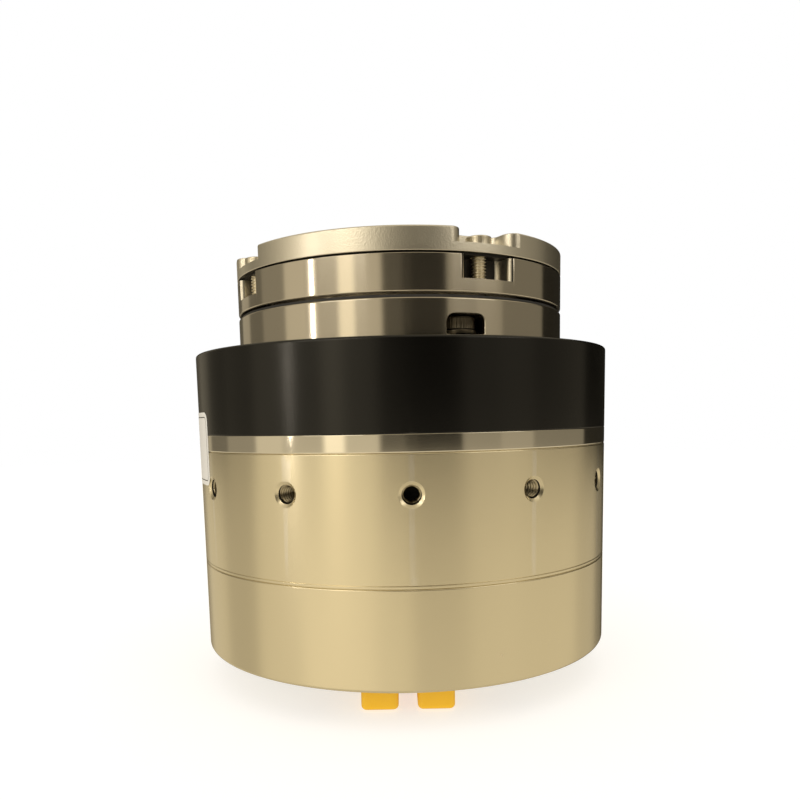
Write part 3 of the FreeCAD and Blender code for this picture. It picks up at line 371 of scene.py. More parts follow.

# What a finish doesn't say is taken from plainFinish. grain: its group, fineness or scale, and bump depth in
# metres; drift: how far patches change the roughness; the second colour and the edge limits: the colour of
# convex edges, worn bare and lit by a painted highlight, and the pointiness where it starts and is full.
plainFinish = {"metallic": 1.0, "aniso": 0.0, "drift": 0.1, "coat": 0.0, "specular": 0.5,
               "anisoTurn": 0.25, "wearAndGlint": (0.53, 0.60)}
finish = {
    "housingMetal": {"color": (0.9, 0.82, 0.62), "wornAndGlint": (0.95, 0.9, 0.8), "roughness": 0.26, "aniso": 0.6,
                     "grain": ("turned", 1.0, 0.000005), "drift": 0.06},
    "polishedMetal": {"color": (0.9, 0.85, 0.74), "wornAndGlint": (0.95, 0.92, 0.86), "roughness": 0.1,
                      "aniso": 0.3, "grain": ("turned", 1.6, 0.0000005), "drift": 0.04},
    "groundSteel": {"color": (0.72, 0.67, 0.58), "wornAndGlint": (0.88, 0.84, 0.76), "roughness": 0.15,
                    "aniso": 0.85, "grain": ("turned", 1.4, 0.000002), "drift": 0.04},
    "blackAnodised": {"color": (0.0015, 0.0013, 0.001), "wornAndGlint": (0.09, 0.08, 0.06), "metallic": 0.0,
                      "roughness": 0.22, "aniso": 0.3, "grain": ("blasted", 4200.0, 0.000004),
                      "drift": 0.05},
    "blastedMetal": {"color": (0.9, 0.86, 0.76), "wornAndGlint": (0.96, 0.93, 0.86), "roughness": 0.33,
                     "grain": ("blasted", 3600.0, 0.000012), "drift": 0.12},
    "brightScrew": {"color": (0.88, 0.82, 0.68), "wornAndGlint": (0.9, 0.88, 0.82), "roughness": 0.36,
                    "grain": ("turned", 2.0, 0.000004)},
    "blackScrew": {"color": (0.085, 0.072, 0.05), "wornAndGlint": (0.25, 0.22, 0.18), "metallic": 0.9,
                   "roughness": 0.3, "grain": ("blasted", 9000.0, 0.00001), "coat": 0.1},
    # Painted shade: a near-black finish laid on hollows and gaps where shade falls.
    "paintedRecessShade": {"color": (0.02, 0.017, 0.013), "wornAndGlint": (0.06, 0.05, 0.04), "metallic": 0.3,
                   "roughness": 0.5, "grain": ("blasted", 5000.0, 0.00001)},
    # Threads inside the holes: the dark colour is painted shade, and the light edge colour on the crests is a
    # painted highlight.
    "threadShadeAndGlint": {"color": (0.3, 0.25, 0.16), "wornAndGlint": (0.95, 0.88, 0.7), "roughness": 0.28,
                    "grain": ("turned", 1.0, 0.000001), "drift": 0.05, "wearAndGlint": (0.46, 0.52)},
    "rubber": {"color": (0.02, 0.019, 0.018), "wornAndGlint": (0.04, 0.04, 0.04), "metallic": 0.0, "roughness": 0.6,
               "grain": ("blasted", 6000.0, 0.00001)},
    "copperWire": {"color": (0.62, 0.26, 0.11), "wornAndGlint": (0.75, 0.4, 0.2), "roughness": 0.3,
                   "grain": ("turned", 1.2, 0.00005), "coat": 0.4},
    "lamination": {"color": (0.23, 0.22, 0.21), "wornAndGlint": (0.4, 0.39, 0.37), "roughness": 0.5,
                   "grain": ("turned", 0.6, 0.00006)},
    "magnet": {"color": (0.7, 0.69, 0.66), "wornAndGlint": (0.8, 0.8, 0.78), "roughness": 0.22,
               "grain": ("blasted", 3000.0, 0.00001)},
    "solderMask": {"color": (0.012, 0.1, 0.04), "wornAndGlint": (0.03, 0.2, 0.09), "metallic": 0.0,
                   "roughness": 0.4, "grain": ("blasted", 1800.0, 0.00002), "coat": 0.5},
    "chipBody": {"color": (0.022, 0.022, 0.024), "wornAndGlint": (0.05, 0.05, 0.05), "metallic": 0.0,
                 "roughness": 0.55, "grain": ("blasted", 7000.0, 0.00001)},
    "canMetal": {"color": (0.74, 0.73, 0.71), "wornAndGlint": (0.85, 0.85, 0.84), "roughness": 0.35,
                 "grain": ("blasted", 2500.0, 0.00001)},
    "goldPlate": {"color": (0.85, 0.62, 0.22), "wornAndGlint": (0.95, 0.75, 0.35), "roughness": 0.2,
                  "grain": ("turned", 2.0, 0.000004)},
    "yellowNylon": {"color": (1.0, 0.56, 0.004), "wornAndGlint": (1.0, 0.62, 0.05), "metallic": 0.0,
                    "roughness": 0.38, "grain": ("blasted", 3500.0, 0.00002), "drift": 0.08, "coat": 0.1},
    "paper": {"color": (0.8, 0.79, 0.76), "wornAndGlint": (0.85, 0.85, 0.82), "metallic": 0.0, "roughness": 0.55,
              "grain": ("blasted", 5000.0, 0.00001), "drift": 0.05, "coat": 0.2},
    "ink": {"color": (0.03, 0.03, 0.03), "wornAndGlint": (0.05, 0.05, 0.05), "metallic": 0.0, "roughness": 0.5,
            "grain": ("blasted", 5000.0, 0.00001), "drift": 0.05},
}


def makeMaterial(name, values):
    material = bpy.data.materials.new(name)
    material.use_nodes = True
    tree = material.node_tree
    shader = tree.nodes["Principled BSDF"]
    kind, fineness, depth = values["grain"]
    grain = tree.nodes.new("ShaderNodeGroup")
    grain.node_tree = groups[kind]
    grain.inputs[0].default_value = fineness
    wearAndGlint = tree.nodes.new("ShaderNodeGroup")
    wearAndGlint.node_tree = groups["wearAndGlint"]
    for index, share in enumerate(values["wearAndGlint"]):
        wearAndGlint.inputs[index].default_value = share
    tint = colorMix(tree, wearAndGlint.outputs["Mask"], (*values["color"], 1), (*values["wornAndGlint"], 1))
    tree.links.new(tint, shader.inputs["Base Color"])
    rough = tree.nodes.new("ShaderNodeMapRange")
    rough.inputs["To Min"].default_value = values["roughness"] - values["drift"] / 2
    rough.inputs["To Max"].default_value = values["roughness"] + values["drift"] / 2
    tree.links.new(grain.outputs["Drift"], rough.inputs["Value"])
    tree.links.new(rough.outputs[0], shader.inputs["Roughness"])
    bump = tree.nodes.new("ShaderNodeBump")
    bump.inputs["Distance"].default_value = depth
    tree.links.new(grain.outputs[0], bump.inputs["Height"])
    tree.links.new(bump.outputs["Normal"], shader.inputs["Normal"])
    shader.inputs["Metallic"].default_value = values["metallic"]
    shader.inputs["Coat Weight"].default_value = values["coat"]
    shader.inputs["Specular IOR Level"].default_value = values["specular"]
    if values["aniso"]:
        shader.inputs["Anisotropic"].default_value = values["aniso"]
        tangent = tree.nodes.new("ShaderNodeTangent")
        tangent.direction_type = "RADIAL"
        tangent.axis = "Z"
        shader.inputs["Anisotropic Rotation"].default_value = values["anisoTurn"]
        tree.links.new(tangent.outputs[0], shader.inputs["Tangent"])
    return material


materials = {name: makeMaterial(name, {**plainFinish, **values}) for name, values in finish.items()}
slotFinish = {
    "satin_aluminium": "housingMetal", "bright_aluminium": "polishedMetal",
    "black_anodised": "blackAnodised", "ground_steel": "groundSteel", "blasted_aluminium": "blastedMetal",
    "black_steel": "blackScrew", "bright_steel": "brightScrew", "seal_rubber": "rubber",
    "copper": "copperWire", "lamination": "lamination", "magnet_nickel": "magnet",
    "circuit_board": "solderMask", "chip_black": "chipBody", "capacitor_can": "canMetal",
    "connector_yellow": "yellowNylon", "contact_gold": "goldPlate",
}
for subpart in frame["record"]["subparts"]:
    node = frame["nodes"][subpart["node"]]
    node.data.materials.clear()
    node.data.materials.append(materials[slotFinish[subpart["material_slot"]]])
    node.data.shade_smooth()
    node.data.set_sharp_from_angle(angle=math.radians(30))
print("stage: materials made")


# Rear cover, with countersinks for its screws and a window for each power socket.
cover = {"bore": 35.4, "floor": 2.6, "mouth": 36.4, "mouthDepth": 1.5, "opening": 6.8, "rearRound": 0.6,
         "seamRound": 0.22, "edgeRound": 0.2, "mouthRound": 0.15, "floorRound": 1.5, "screwCircle": 33.0,
         "screwCount": 6, "screwFirst": 30.0, "screwHole": 1.4, "headRadius": 2.55, "headDepth": 1.45,
         "headPlay": 0.05, "windowGap": 0.3, "windowCorner": 0.5, "windowBevel": 0.2}
socket = {"width": 6.1, "front": 30.0, "length": 15.2, "spacing": 9.2, "turn": -1.6, "reach": 5.8,
          "round": 0.75, "cornerExtra": 0.15, "wall": 1.05, "depth": 7.0, "bevel": 1.37, "back": 4.6,
          "mouthBevel": 0.15, "mouthDepth": 0.2, "cavityCorner": 0.25, "cavityTaper": 0.02}


def socketPlaces():
    turn = Matrix.Rotation(math.radians(socket["turn"]), 4, "Z")
    return [turn @ Matrix.Translation((side * socket["spacing"] / 2, 0, 0)) for side in (-1, 1)]


def socketOutline(corner, inset=0.0):
    half, bevel = socket["width"] / 2 - inset, socket["bevel"]
    front, inner = -socket["front"] + inset, -socket["front"] + socket["length"] - inset
    return softened([(-half, front, corner), (half, front, corner), (half, inner - bevel, corner),
                     (half - bevel, inner, corner), (bevel - half, inner, corner),
                     (-half, inner - bevel, corner)])


def rearCover():
    top = level["coverTop"]
    outline = softened([
        (cover["opening"], 0, cover["edgeRound"]), (housingRadius, 0, cover["rearRound"]),
        (housingRadius, top, cover["seamRound"]), (cover["mouth"], top, cover["mouthRound"]),
        (cover["mouth"], top - cover["mouthDepth"]),
        (cover["bore"], top - cover["mouthDepth"], cover["edgeRound"]),
        (cover["bore"], cover["floor"], cover["floorRound"]),
        (cover["opening"], cover["floor"], cover["edgeRound"])])
    made = makeObject("rearCoverShell", lathe(outline))
    countersink = roundCutter([(-0.5, cover["headRadius"] + 0.5),
                               (0, cover["headRadius"] + cover["headPlay"]),
                               (cover["headDepth"], cover["screwHole"]),
                               (cover["floor"] + 1, cover["screwHole"])],
                              polar(cover["screwCircle"], 0))
    half = socket["width"] / 2 + cover["windowGap"]
    front = -socket["front"] - cover["windowGap"]
    inner = -socket["front"] + socket["length"] + cover["windowGap"]
    corner, bevel = cover["windowCorner"], cover["windowBevel"]
    opening = prism(roundedBox(half, front, inner, corner, corner),
                    [(-1, bevel * 2), (-overshoot, bevel), (bevel, 0), (cover["floor"] + 1, 0)])
    windows = [moved(opening, place) for place in socketPlaces()]
    carve(made, around(countersink, cover["screwCount"], cover["screwFirst"]) + windows)
    finishPiece(made, "housing", "satin_aluminium", ["rear_cover"])


# Housing of the motor, with its ring of threaded side holes and a fine turned line above the seam.
shell = {"statorBore": 31.0, "shoulderBore": 29.9, "web": 18.4, "shoulder": 20.4, "seat": 15.4,
         "bearing": 13.0, "bearingTop": 4.4, "bearingBase": 0.6, "lip": 12.0, "lipBase": 1.6,
         "spigotOuter": 36.35, "spigotInner": 35.5, "spigotDepth": 1.4, "seamRound": 0.22,
         "mouthRound": 0.3, "lineLevel": 0.55, "lineDepth": 0.10, "lineWidth": 0.16, "lineEdge": 0.03,
         "lineRoot": 0.02}
sideHole = {"level": 30.1, "count": 12, "sink": 1.95, "sinkDepth": 0.7, "coneEnd": 0.35, "major": 1.5,
            "minor": 1.22, "pitch": 0.6, "depth": 5.5, "pointDepth": 0.6, "pointRadius": 0.1,
            "mouthRound": 0.12, "threadLead": 0.1, "threadEnd": 1.4, "threadPlay": 0.01}


def motorHousing():
    base, top = level["coverTop"], level["housingTop"]
    line, width, depth = base + shell["lineLevel"], shell["lineWidth"] / 2, shell["lineDepth"]
    lipBase = base - shell["lipBase"]
    bearingBase, bearingTop = base - shell["bearingBase"], base + shell["bearingTop"]
    outline = softened([
        (shell["lip"], lipBase), (shell["seat"], lipBase), (shell["seat"], base),
        (shell["spigotInner"], base), (shell["spigotInner"], base - shell["spigotDepth"]),
        (shell["spigotOuter"], base - shell["spigotDepth"]), (shell["spigotOuter"], base),
        (housingRadius, base, shell["seamRound"]), (housingRadius, line - width, shell["lineEdge"]),
        (housingRadius - depth, line, shell["lineRoot"]), (housingRadius, line + width, shell["lineEdge"]),
        (housingRadius, top, shell["seamRound"]), (shell["statorBore"], top, shell["mouthRound"]),
        (shell["statorBore"], shell["shoulder"]), (shell["shoulderBore"], shell["shoulder"]),
        (shell["shoulderBore"], shell["web"]), (shell["seat"], shell["web"]), (shell["seat"], bearingTop),
        (shell["bearing"], bearingTop), (shell["bearing"], bearingBase), (shell["lip"], bearingBase)])
    made = makeObject("motorHousingShell", lathe(outline))
    rim, lip = -housingRadius, sideHole["mouthRound"]
    sinkEnd, holeEnd = rim + sideHole["sinkDepth"], rim + sideHole["depth"]
    steps = [(rim - 0.4, sideHole["sink"] + 0.5), (rim - overshoot, sideHole["sink"] + lip),
             (rim + lip, sideHole["sink"] - lip / 2), (sinkEnd - sideHole["coneEnd"], sideHole["major"]),
             (holeEnd - sideHole["pointDepth"], sideHole["major"]), (holeEnd, sideHole["pointRadius"])]
    carve(made, around(drill(steps, sideHole["level"]), sideHole["count"]))
    finishPiece(made, "housing", "satin_aluminium", ["motor_housing"])

    def shaded(middle, normal):      # the bores behind the threads lie in shadow
        bored = shell["statorBore"] + 0.5 < middle.xy.length < housingRadius - sideHole["sinkDepth"]
        return int(bored and abs(middle.z - sideHole["level"]) < sideHole["major"] + 0.1)

    dressFaces(made, ["paintedRecessShade"], shaded)


threadFlank = {"steep": 3.2, "rootFlat": 0.3}    # slope of a thread's sides, flat share of its root


# Wall of a thread as a grid; inward walls of holes and outward walls of shanks are the same surface.
def threadGrid(major, minor, pitch, length, sides=28, perTurn=8):
    rows = int(length / pitch * perTurn) + 1
    loops = []
    for row in range(rows):
        along = row * pitch / perTurn
        loop = []
        for side in range(sides):
            phase = (along / pitch - side / sides) % 1
            share = min(1.0, max(0.0, abs(phase - 0.5) * threadFlank["steep"] - threadFlank["rootFlat"]))
            loop.append(polar(minor + (major - minor) * share, 360 * side / sides, along))
        loops.append(loop)
    return joined(loops, caps=False)


def sideHoleThreads():
    grid = threadGrid(sideHole["major"] + sideHole["threadPlay"], sideHole["minor"], sideHole["pitch"],
                      sideHole["depth"] - sideHole["threadEnd"])
    start = -housingRadius + sideHole["sinkDepth"] - sideHole["threadLead"]
    place = Matrix.Translation((0, start, sideHole["level"])) @ Matrix.Rotation(math.radians(-90), 4, "X")
    made = makeObject("sideHoleThreads", merged(around(moved(grid, place), sideHole["count"])))
    # The threads' finish paints shade into the holes and highlights on the thread crests.
    finishPiece(made, "housing", "satin_aluminium", finishName="threadShadeAndGlint", sharpAngle=30)


# Front end plate: only the polished band of its rim is seen.
band = {"seat": 15.4, "bearing": 13.0, "bearingTop": 0.6, "bearingBase": 4.4, "lip": 12.0, "lipBase": 2.6,
        "spigot": 30.95, "spigotInner": 27.5, "spigotDepth": 0.6, "registerOuter": 24.05,
        "registerInner": 22.4, "registerHeight": 1.5, "lowerRound": 0.25, "upperRound": 0.12}


def polishedBand():
    base, top = level["housingTop"], level["bandTop"]
    lipBase = base - band["lipBase"]
    bearingBase, bearingTop = top - band["bearingBase"], top + band["bearingTop"]
    outline = softened([
        (band["lip"], lipBase), (band["seat"], lipBase), (band["seat"], base), (band["spigotInner"], base),
        (band["spigotInner"], base - band["spigotDepth"]), (band["spigot"], base - band["spigotDepth"]),
        (band["spigot"], base), (housingRadius, base, band["lowerRound"]),
        (housingRadius, top, band["upperRound"]), (band["registerOuter"], top),
        (band["registerOuter"], top + band["registerHeight"]),
        (band["registerInner"], top + band["registerHeight"]), (band["registerInner"], top),
        (band["seat"], top), (band["seat"], bearingTop), (band["bearing"], bearingTop),
        (band["bearing"], bearingBase), (band["lip"], bearingBase)])
    made = makeObject("polishedBand", lathe(outline))
    finishPiece(made, "housing", "bright_aluminium", ["front_end_plate"])


# Black front housing, with counterbores for the housing's screws and tapped holes between them.
black = {"bore": 24.1, "spigotSeat": 30.05, "seatDepth": 3.0, "seatRound": 0.1, "topRound": 0.45,
         "lowerRound": 0.15, "circle": 34.0, "boltSink": 2.95, "sinkDepth": 3.4, "sinkFlare": 0.2,
         "boltFirst": 15.0, "mountHole": 1.25, "mountDepth": 8.0, "mountFlare": 0.3, "mountFirst": 45.0,
         "count": 6}


def blackRing():
    base, top = level["bandTop"], level["blackTop"]
    outline = softened([
        (black["bore"], base), (housingRadius, base, black["lowerRound"]),
        (housingRadius, top, black["topRound"]), (black["spigotSeat"], top, black["seatRound"]),
        (black["spigotSeat"], top - black["seatDepth"]), (black["bore"], top - black["seatDepth"])])
    made = makeObject("blackHousingRing", lathe(outline))
    spot = polar(black["circle"], 0)
    mount = roundHole(black["mountHole"], top - black["mountDepth"], top, spot, flare=black["mountFlare"])
    sink = roundHole(black["boltSink"], top - black["sinkDepth"] - 0.01, top, spot, flare=black["sinkFlare"])
    carve(made, around(mount, black["count"], black["mountFirst"])
          + around(sink, black["count"], black["boltFirst"]))
    finishPiece(made, "housing", "black_anodised", ["front_housing"])


# Fixed ring of the reducer, with arches for the heads of its screws.
spline = {"register": 3.0, "relief": 22.62, "toothBack": 22.3, "sleeve": 24.0, "toothWidth": 6.4,
          "teeth": 162, "tip": 21.67, "root": 22.12, "topRound": 0.28, "seatRound": 0.2, "sleeveRound": 0.3,
          "sealOuter": 29.55, "sealInner": 28.4, "sealDepth": 0.6, "raceBore": 24.66, "raceDepth": 2.1}
arch = {"first": 18.2, "count": 3, "half": 3.2, "floor": 1.0, "height": 3.0, "corner": 1.2,
        "floorCorner": 0.12, "back": 23.4, "slot": 1.65, "slotCorner": 1.4, "circle": 26.6, "keyHole": 1.35,
        "keyFlare": 0.15, "edge": 0.16}


def archCutters():
    floor = level["blackTop"] + arch["floor"]
    roof, edge = floor + arch["height"], arch["edge"]
    outline = roundedBox(arch["half"], floor, roof, arch["floorCorner"], arch["corner"])
    pocket = sidePocket(outline, [(ringRadius + 0.6, edge * 2.5), (ringRadius + overshoot, edge),
                                  (ringRadius - edge * 0.4, edge * 0.3), (ringRadius - edge, 0)],
                        arch["back"])
    plan = roundedBox(arch["slot"], -ringRadius - 1, -arch["circle"] + arch["slot"], 0, arch["slotCorner"])
    screwSlot = prism(plan, [(level["blackTop"] - 4, 0), (floor + 0.1, 0)])
    keyHole = roundHole(arch["keyHole"], roof - 0.1, level["splineTop"], polar(arch["circle"], 0),
                        flare=arch["keyFlare"])
    return [around(cutter, arch["count"], arch["first"]) for cutter in (pocket, screwSlot, keyHole)]


def splineRing():
    base, top = level["blackTop"] - spline["register"], level["splineTop"]
    toothBase = base - spline["toothWidth"]
    outline = softened([
        (spline["toothBack"], toothBase), (spline["sleeve"], toothBase, spline["sleeveRound"]),
        (spline["sleeve"], base), (ringRadius, base, spline["seatRound"]),
        (ringRadius, top, spline["topRound"]), (spline["sealOuter"], top),
        (spline["sealOuter"], top - spline["sealDepth"]), (spline["sealInner"], top - spline["sealDepth"]),
        (spline["sealInner"], top), (spline["raceBore"], top),
        (spline["raceBore"], top - spline["raceDepth"]), (spline["relief"], top - spline["raceDepth"]),
        (spline["relief"], base), (spline["toothBack"], base)])
    made = makeObject("fixedSplineRing", lathe(outline))
    pockets, slots, keyHoles = archCutters()
    carve(made, pockets)
    carve(made, slots + keyHoles)
    flanks = [(spline["root"] if step % 2 else spline["tip"], 180 * step / spline["teeth"])
              for step in range(spline["teeth"] * 2)]
    back = [(spline["toothBack"], angle) for _, angle in flanks]
    loops = [[polar(radius, angle, z) for radius, angle in ring]
             for ring, z in ((flanks, toothBase), (flanks, base), (back, base), (back, toothBase))]
    teeth = makeObject("teeth", joined(loops, closed=True))
    work = bmesh.new()
    work.from_mesh(made.data)
    work.from_mesh(teeth.data)
    work.to_mesh(made.data)
    work.free()
    bpy.data.objects.remove(teeth)
    finishPiece(made, "housing", "ground_steel", ["circular_spline"])


# Recesses milled from the rim: notches in the output plate and windows in the output ring below them.
notch = {"first": 25.4, "count": 4, "turn": 0.8, "half": 4.2, "inner": 24.6, "innerCorner": 1.4,
         "outerCorner": 2.0, "floor": 1.7, "edge": 0.22}
window = {"half": 4.1, "inner": 26.2, "floor": 2.15, "leftCorner": 0.8, "rightCorner": 1.6,
          "mouthRound": 0.95}
outer = {"bore": 25.15, "grooveRadius": 26.13, "grooveLevel": 1.4, "grooveHalf": 0.98, "lowerRound": 0.28,
         "upperRound": 0.12}
flangeScrew = {"circle": 27.5, "hole": 1.22, "play": 0.1, "shank": 1.17, "core": 0.88, "pitch": 0.5,
               "head": 2.05, "height": 1.4, "hex": 1.3, "length": 7.0, "ridges": 40, "ridgeDepth": 0.02}


# Plan outline of a recess milled from the rim, with its mouth rounded into the rim; it stands clear outside.
def rimRecess(half, inner, leftCorner, rightCorner, mouthCorner):
    rim = ringRadius + 0.03
    wide = half + mouthCorner * 1.2 + 0.3

    def onRim(x):
        return -math.sqrt(rim ** 2 - x ** 2)

    return softened([(-wide, -ringRadius - 1.2), (-wide, onRim(wide)), (-half, onRim(half), mouthCorner),
                     (-half, -inner, leftCorner), (half, -inner, rightCorner),
                     (half, onRim(half), mouthCorner), (wide, onRim(wide)),
                     (wide, -ringRadius - 1.2)], steps=8)


def outputRing():
    base, top = level["outputBase"], level["ringTop"]
    groove = base + outer["grooveLevel"]
    outline = softened([
        (outer["bore"], base), (ringRadius, base, outer["lowerRound"]),
        (ringRadius, top, outer["upperRound"]), (outer["bore"], top),
        (outer["bore"], groove + outer["grooveHalf"]), (outer["grooveRadius"], groove),
        (outer["bore"], groove - outer["grooveHalf"])])
    made = makeObject("outputRingBody", lathe(outline))
    recess = rimRecess(window["half"], window["inner"], window["leftCorner"], window["rightCorner"],
                       window["mouthRound"])
    floor = base + window["floor"]
    hole = roundHole(flangeScrew["hole"], base - 1, floor + 0.5, polar(flangeScrew["circle"], 0), sides=32)
    cut = prism(recess, [(floor, 0), (top + 1, 0)])
    carve(made, around(cut, notch["count"], notch["first"] + notch["turn"]))
    carve(made, around(hole, notch["count"], notch["first"]))
    finishPiece(made, "output", "ground_steel", ["output_ring"])

    def wallOfWindow(middle, normal):      # painted shade on the windows' rear walls; their ends take the lighter blasted finish as a painted highlight
        inside = middle.z > floor and outer["bore"] + 0.5 < middle.xy.length < ringRadius - 0.1
        if not inside or abs(normal.z) > 0.3:
            return 0
        return 1 if normal.xy.dot(middle.xy.normalized()) > 0.8 else 2

    dressFaces(made, ["paintedRecessShade", "blastedMetal"], wallOfWindow)


# Output plate, with a pilot recess, tapped holes, dowel holes and seats for the flexspline's clamp screws.
plate = {"seat": 6.21, "boss": 13.2, "bossTop": 2.4, "spigotInner": 24.4, "spigot": 25.1,
         "spigotDepth": 0.4, "pilot": 15.0, "pilotDepth": 1.0, "pilotRound": 0.2, "tubeSeat": 7.25,
         "tubeSeatDepth": 0.8, "circle": 20.0, "tapped": 1.25, "tappedFlare": 0.3, "tappedShift": 22.5,
         "tappedCount": 8, "dowel": 1.5, "dowelCount": 2, "clampCircle": 10.5, "clampHole": 1.4,
         "clampSink": 2.4, "clampSeat": 2.6, "clampCount": 8, "flare": 0.15, "topRound": 0.3,
         "lowerRound": 0.15, "gap": 0.28, "gapDepth": 1.0}


def outputPlate():
    base, top = level["ringTop"], level["plateTop"]
    under, pilot = base - plate["bossTop"], top - plate["pilotDepth"]
    outline = softened([
        (plate["seat"], under), (plate["boss"], under), (plate["boss"], base), (plate["spigotInner"], base),
        (plate["spigotInner"], base - plate["spigotDepth"]), (plate["spigot"], base - plate["spigotDepth"]),
        (plate["spigot"], base), (ringRadius - plate["gapDepth"], base),
        (ringRadius - plate["gapDepth"], base + plate["gap"]),
        (ringRadius, base + plate["gap"], plate["lowerRound"]), (ringRadius, top, plate["topRound"]),
        (plate["pilot"], top, plate["pilotRound"]), (plate["pilot"], pilot), (plate["tubeSeat"], pilot),
        (plate["tubeSeat"], pilot - plate["tubeSeatDepth"]),
        (plate["seat"], pilot - plate["tubeSeatDepth"])])
    made = makeObject("outputPlateBody", lathe(outline))
    edge, first = notch["edge"], notch["first"]
    recess = rimRecess(notch["half"], notch["inner"], notch["innerCorner"], notch["innerCorner"],
                       notch["outerCorner"])
    cut = prism(recess, [(base + notch["floor"], 0), (top - edge, 0), (top - edge * 0.3, edge * 0.3),
                         (top + overshoot, edge * 1.02), (top + 1, edge * 2)])
    carve(made, around(cut, notch["count"], first + notch["turn"]))
    spot, clampSpot = polar(plate["circle"], 0), polar(plate["clampCircle"], 0)
    screwHole = roundHole(flangeScrew["hole"] + flangeScrew["play"], base - 1, base + notch["floor"] + 0.5,
                          polar(flangeScrew["circle"], 0), sides=32)
    tapped = roundHole(plate["tapped"], under - 1, top, spot, flare=plate["tappedFlare"])
    dowel = roundHole(plate["dowel"], under - 1, top, spot, flare=plate["flare"])
    clampHole = roundHole(plate["clampHole"], under - 1, pilot, clampSpot, sides=32)
    clampSink = roundHole(plate["clampSink"], pilot - plate["clampSeat"], pilot, clampSpot,
                          flare=plate["flare"])
    carve(made, around(screwHole, notch["count"], first)
          + around(tapped, plate["tappedCount"], first + plate["tappedShift"])
          + around(dowel, plate["dowelCount"], first))
    carve(made, around(clampHole, plate["clampCount"], first))
    carve(made, around(clampSink, plate["clampCount"], first))
    finishPiece(made, "output", "blasted_aluminium", ["output_plate"])

    def shaded(middle, normal):      # the narrow step above the output ring lies in shadow
        low = abs(middle.z - base - plate["gap"] / 2) < plate["gap"]
        return int(low and plate["spigot"] < middle.xy.length < ringRadius - 0.1)

    dressFaces(made, ["paintedRecessShade"], shaded)


# Distance from a hexagon's centre to its side in a direction.
def hexRadius(flats, angle):
    return flats / 2 / math.cos(math.radians((angle % 60) - 30))


# hexShare: the socket's depth as a share of the head's height.
screwEdge = {"round": 0.22, "hexBevel": 0.12, "hexShare": 0.55}


# Socket head screw with ridges round its head and its threaded shank, standing on a seat.
def capScrew(size, seat, sides=144):
    angles = [360 * side / sides for side in range(sides)]
    height, edge, bevel = size["height"], screwEdge["round"], screwEdge["hexBevel"]

    def rim(angle, inset, knurl):
        wave = abs(math.sin(math.radians(angle * size["ridges"] / 2)))
        return size["head"] - inset - (size["ridgeDepth"] * wave if knurl else 0.0)

    steps = [(0, edge * 0.5, False), (edge * 0.4, 0.0, False), (edge * 0.8, 0.0, True),
             (height - edge * 1.4, 0.0, True), (height - edge, 0.0, False),
             (height - edge * 0.3, edge * 0.3, False), (height, edge, False)]
    loops = [[polar(rim(angle, inset, knurl), angle, seat + z) for angle in angles]
             for z, inset, knurl in steps]
    for depth, grow in ((0, bevel), (bevel, 0), (height * screwEdge["hexShare"], 0)):
        loops.append([polar(hexRadius(size["hex"], angle) + grow, angle, seat + height - depth)
                      for angle in angles])
    thread = threadGrid(size["shank"], size["core"], size["pitch"], size["length"], sides=32, perTurn=10)
    return merged([joined(loops), moved(thread, Matrix.Translation((0, 0, seat - size["length"])))])


def flangeScrews():
    screw = capScrew(flangeScrew, level["ringTop"] + notch["floor"])
    made = makeSet("flangeScrewSet", screw, flangeScrew["circle"], notch)
    finishPiece(made, "output", "bright_steel", ["flange_screws"], sharpAngle=40)


# Screws of the reducer in the arches, each on a split lock washer.
reducerScrew = {"head": 2.75, "height": 2.0, "hex": 2.0, "shank": 1.5, "core": 1.2, "pitch": 0.5,
                "length": 12.0, "ridges": 36, "ridgeDepth": 0.1}
washer = {"outer": 2.9, "inner": 1.65, "height": 0.8, "rise": 0.12, "split": 14.0, "first": 120, "steps": 60,
          "outerRound": 0.15, "innerRound": 0.08}


def reducerScrews():
    screw = capScrew(reducerScrew, level["blackTop"] + arch["floor"] + washer["height"])
    made = makeSet("reducerScrewSet", screw, arch["circle"], arch)
    finishPiece(made, "housing", "black_steel", ["reducer_screws"], sharpAngle=40)


def lockWashers():
    base = level["blackTop"] + arch["floor"]
    thick = washer["height"] - washer["rise"]
    section = softened([(washer["inner"], 0, washer["innerRound"]),
                        (washer["outer"], 0, washer["outerRound"]),
                        (washer["outer"], thick, washer["outerRound"]),
                        (washer["inner"], thick, washer["innerRound"])], steps=3)
    loops = []
    for step in range(washer["steps"] + 1):
        share = step / washer["steps"]
        angle = washer["first"] + (360 - washer["split"]) * share
        loops.append([polar(point.x, angle, base + point.y + washer["rise"] * share) for point in section])
    made = makeSet("lockWasherSet", joined(loops), arch["circle"], arch)
    finishPiece(made, "housing", "ground_steel", ["reducer_lock_washers"], "blackScrew")


# Power socket below the rear cover: a housing with rounded lower edges and an open cavity.
def powerSocket(name, place, node):
    reachDown, corner = -socket["reach"], socket["round"]
    turns = [math.radians(turn) for turn in (90, 72, 54, 36, 18, 0)]
    steps = [(reachDown + corner * (1 - math.sin(turn)), -corner * (1 - math.cos(turn))) for turn in turns]
    outline = socketOutline(corner + socket["cornerExtra"])
    made = makeObject(name, prism(outline, steps + [(socket["back"], 0)]))
    cavity = prism(socketOutline(socket["cavityCorner"], inset=socket["wall"]),
                   [(reachDown - 0.5, 0.35), (reachDown - 0.01, socket["mouthBevel"]),
                    (reachDown + socket["mouthDepth"], 0),
                    (reachDown + socket["depth"], -socket["cavityTaper"])])
    carve(made, [cavity])
    made.data.transform(Matrix.Translation(place.translation * (mm - 1)) @ place)
    finishPiece(made, "housing", "connector_yellow", [node])


# Bare sticker with a thin printed border, curved round the motor housing.
sticker = {"right": -61.8, "width": 26.0, "low": 30.4, "high": 42.9, "corner": 1.6, "proud": 0.05,
           "sunk": 0.03, "inset": 0.75, "line": 0.16, "facet": 0.8, "fill": (0.85, 0.65, 0.45, 0.25, 0.08)}


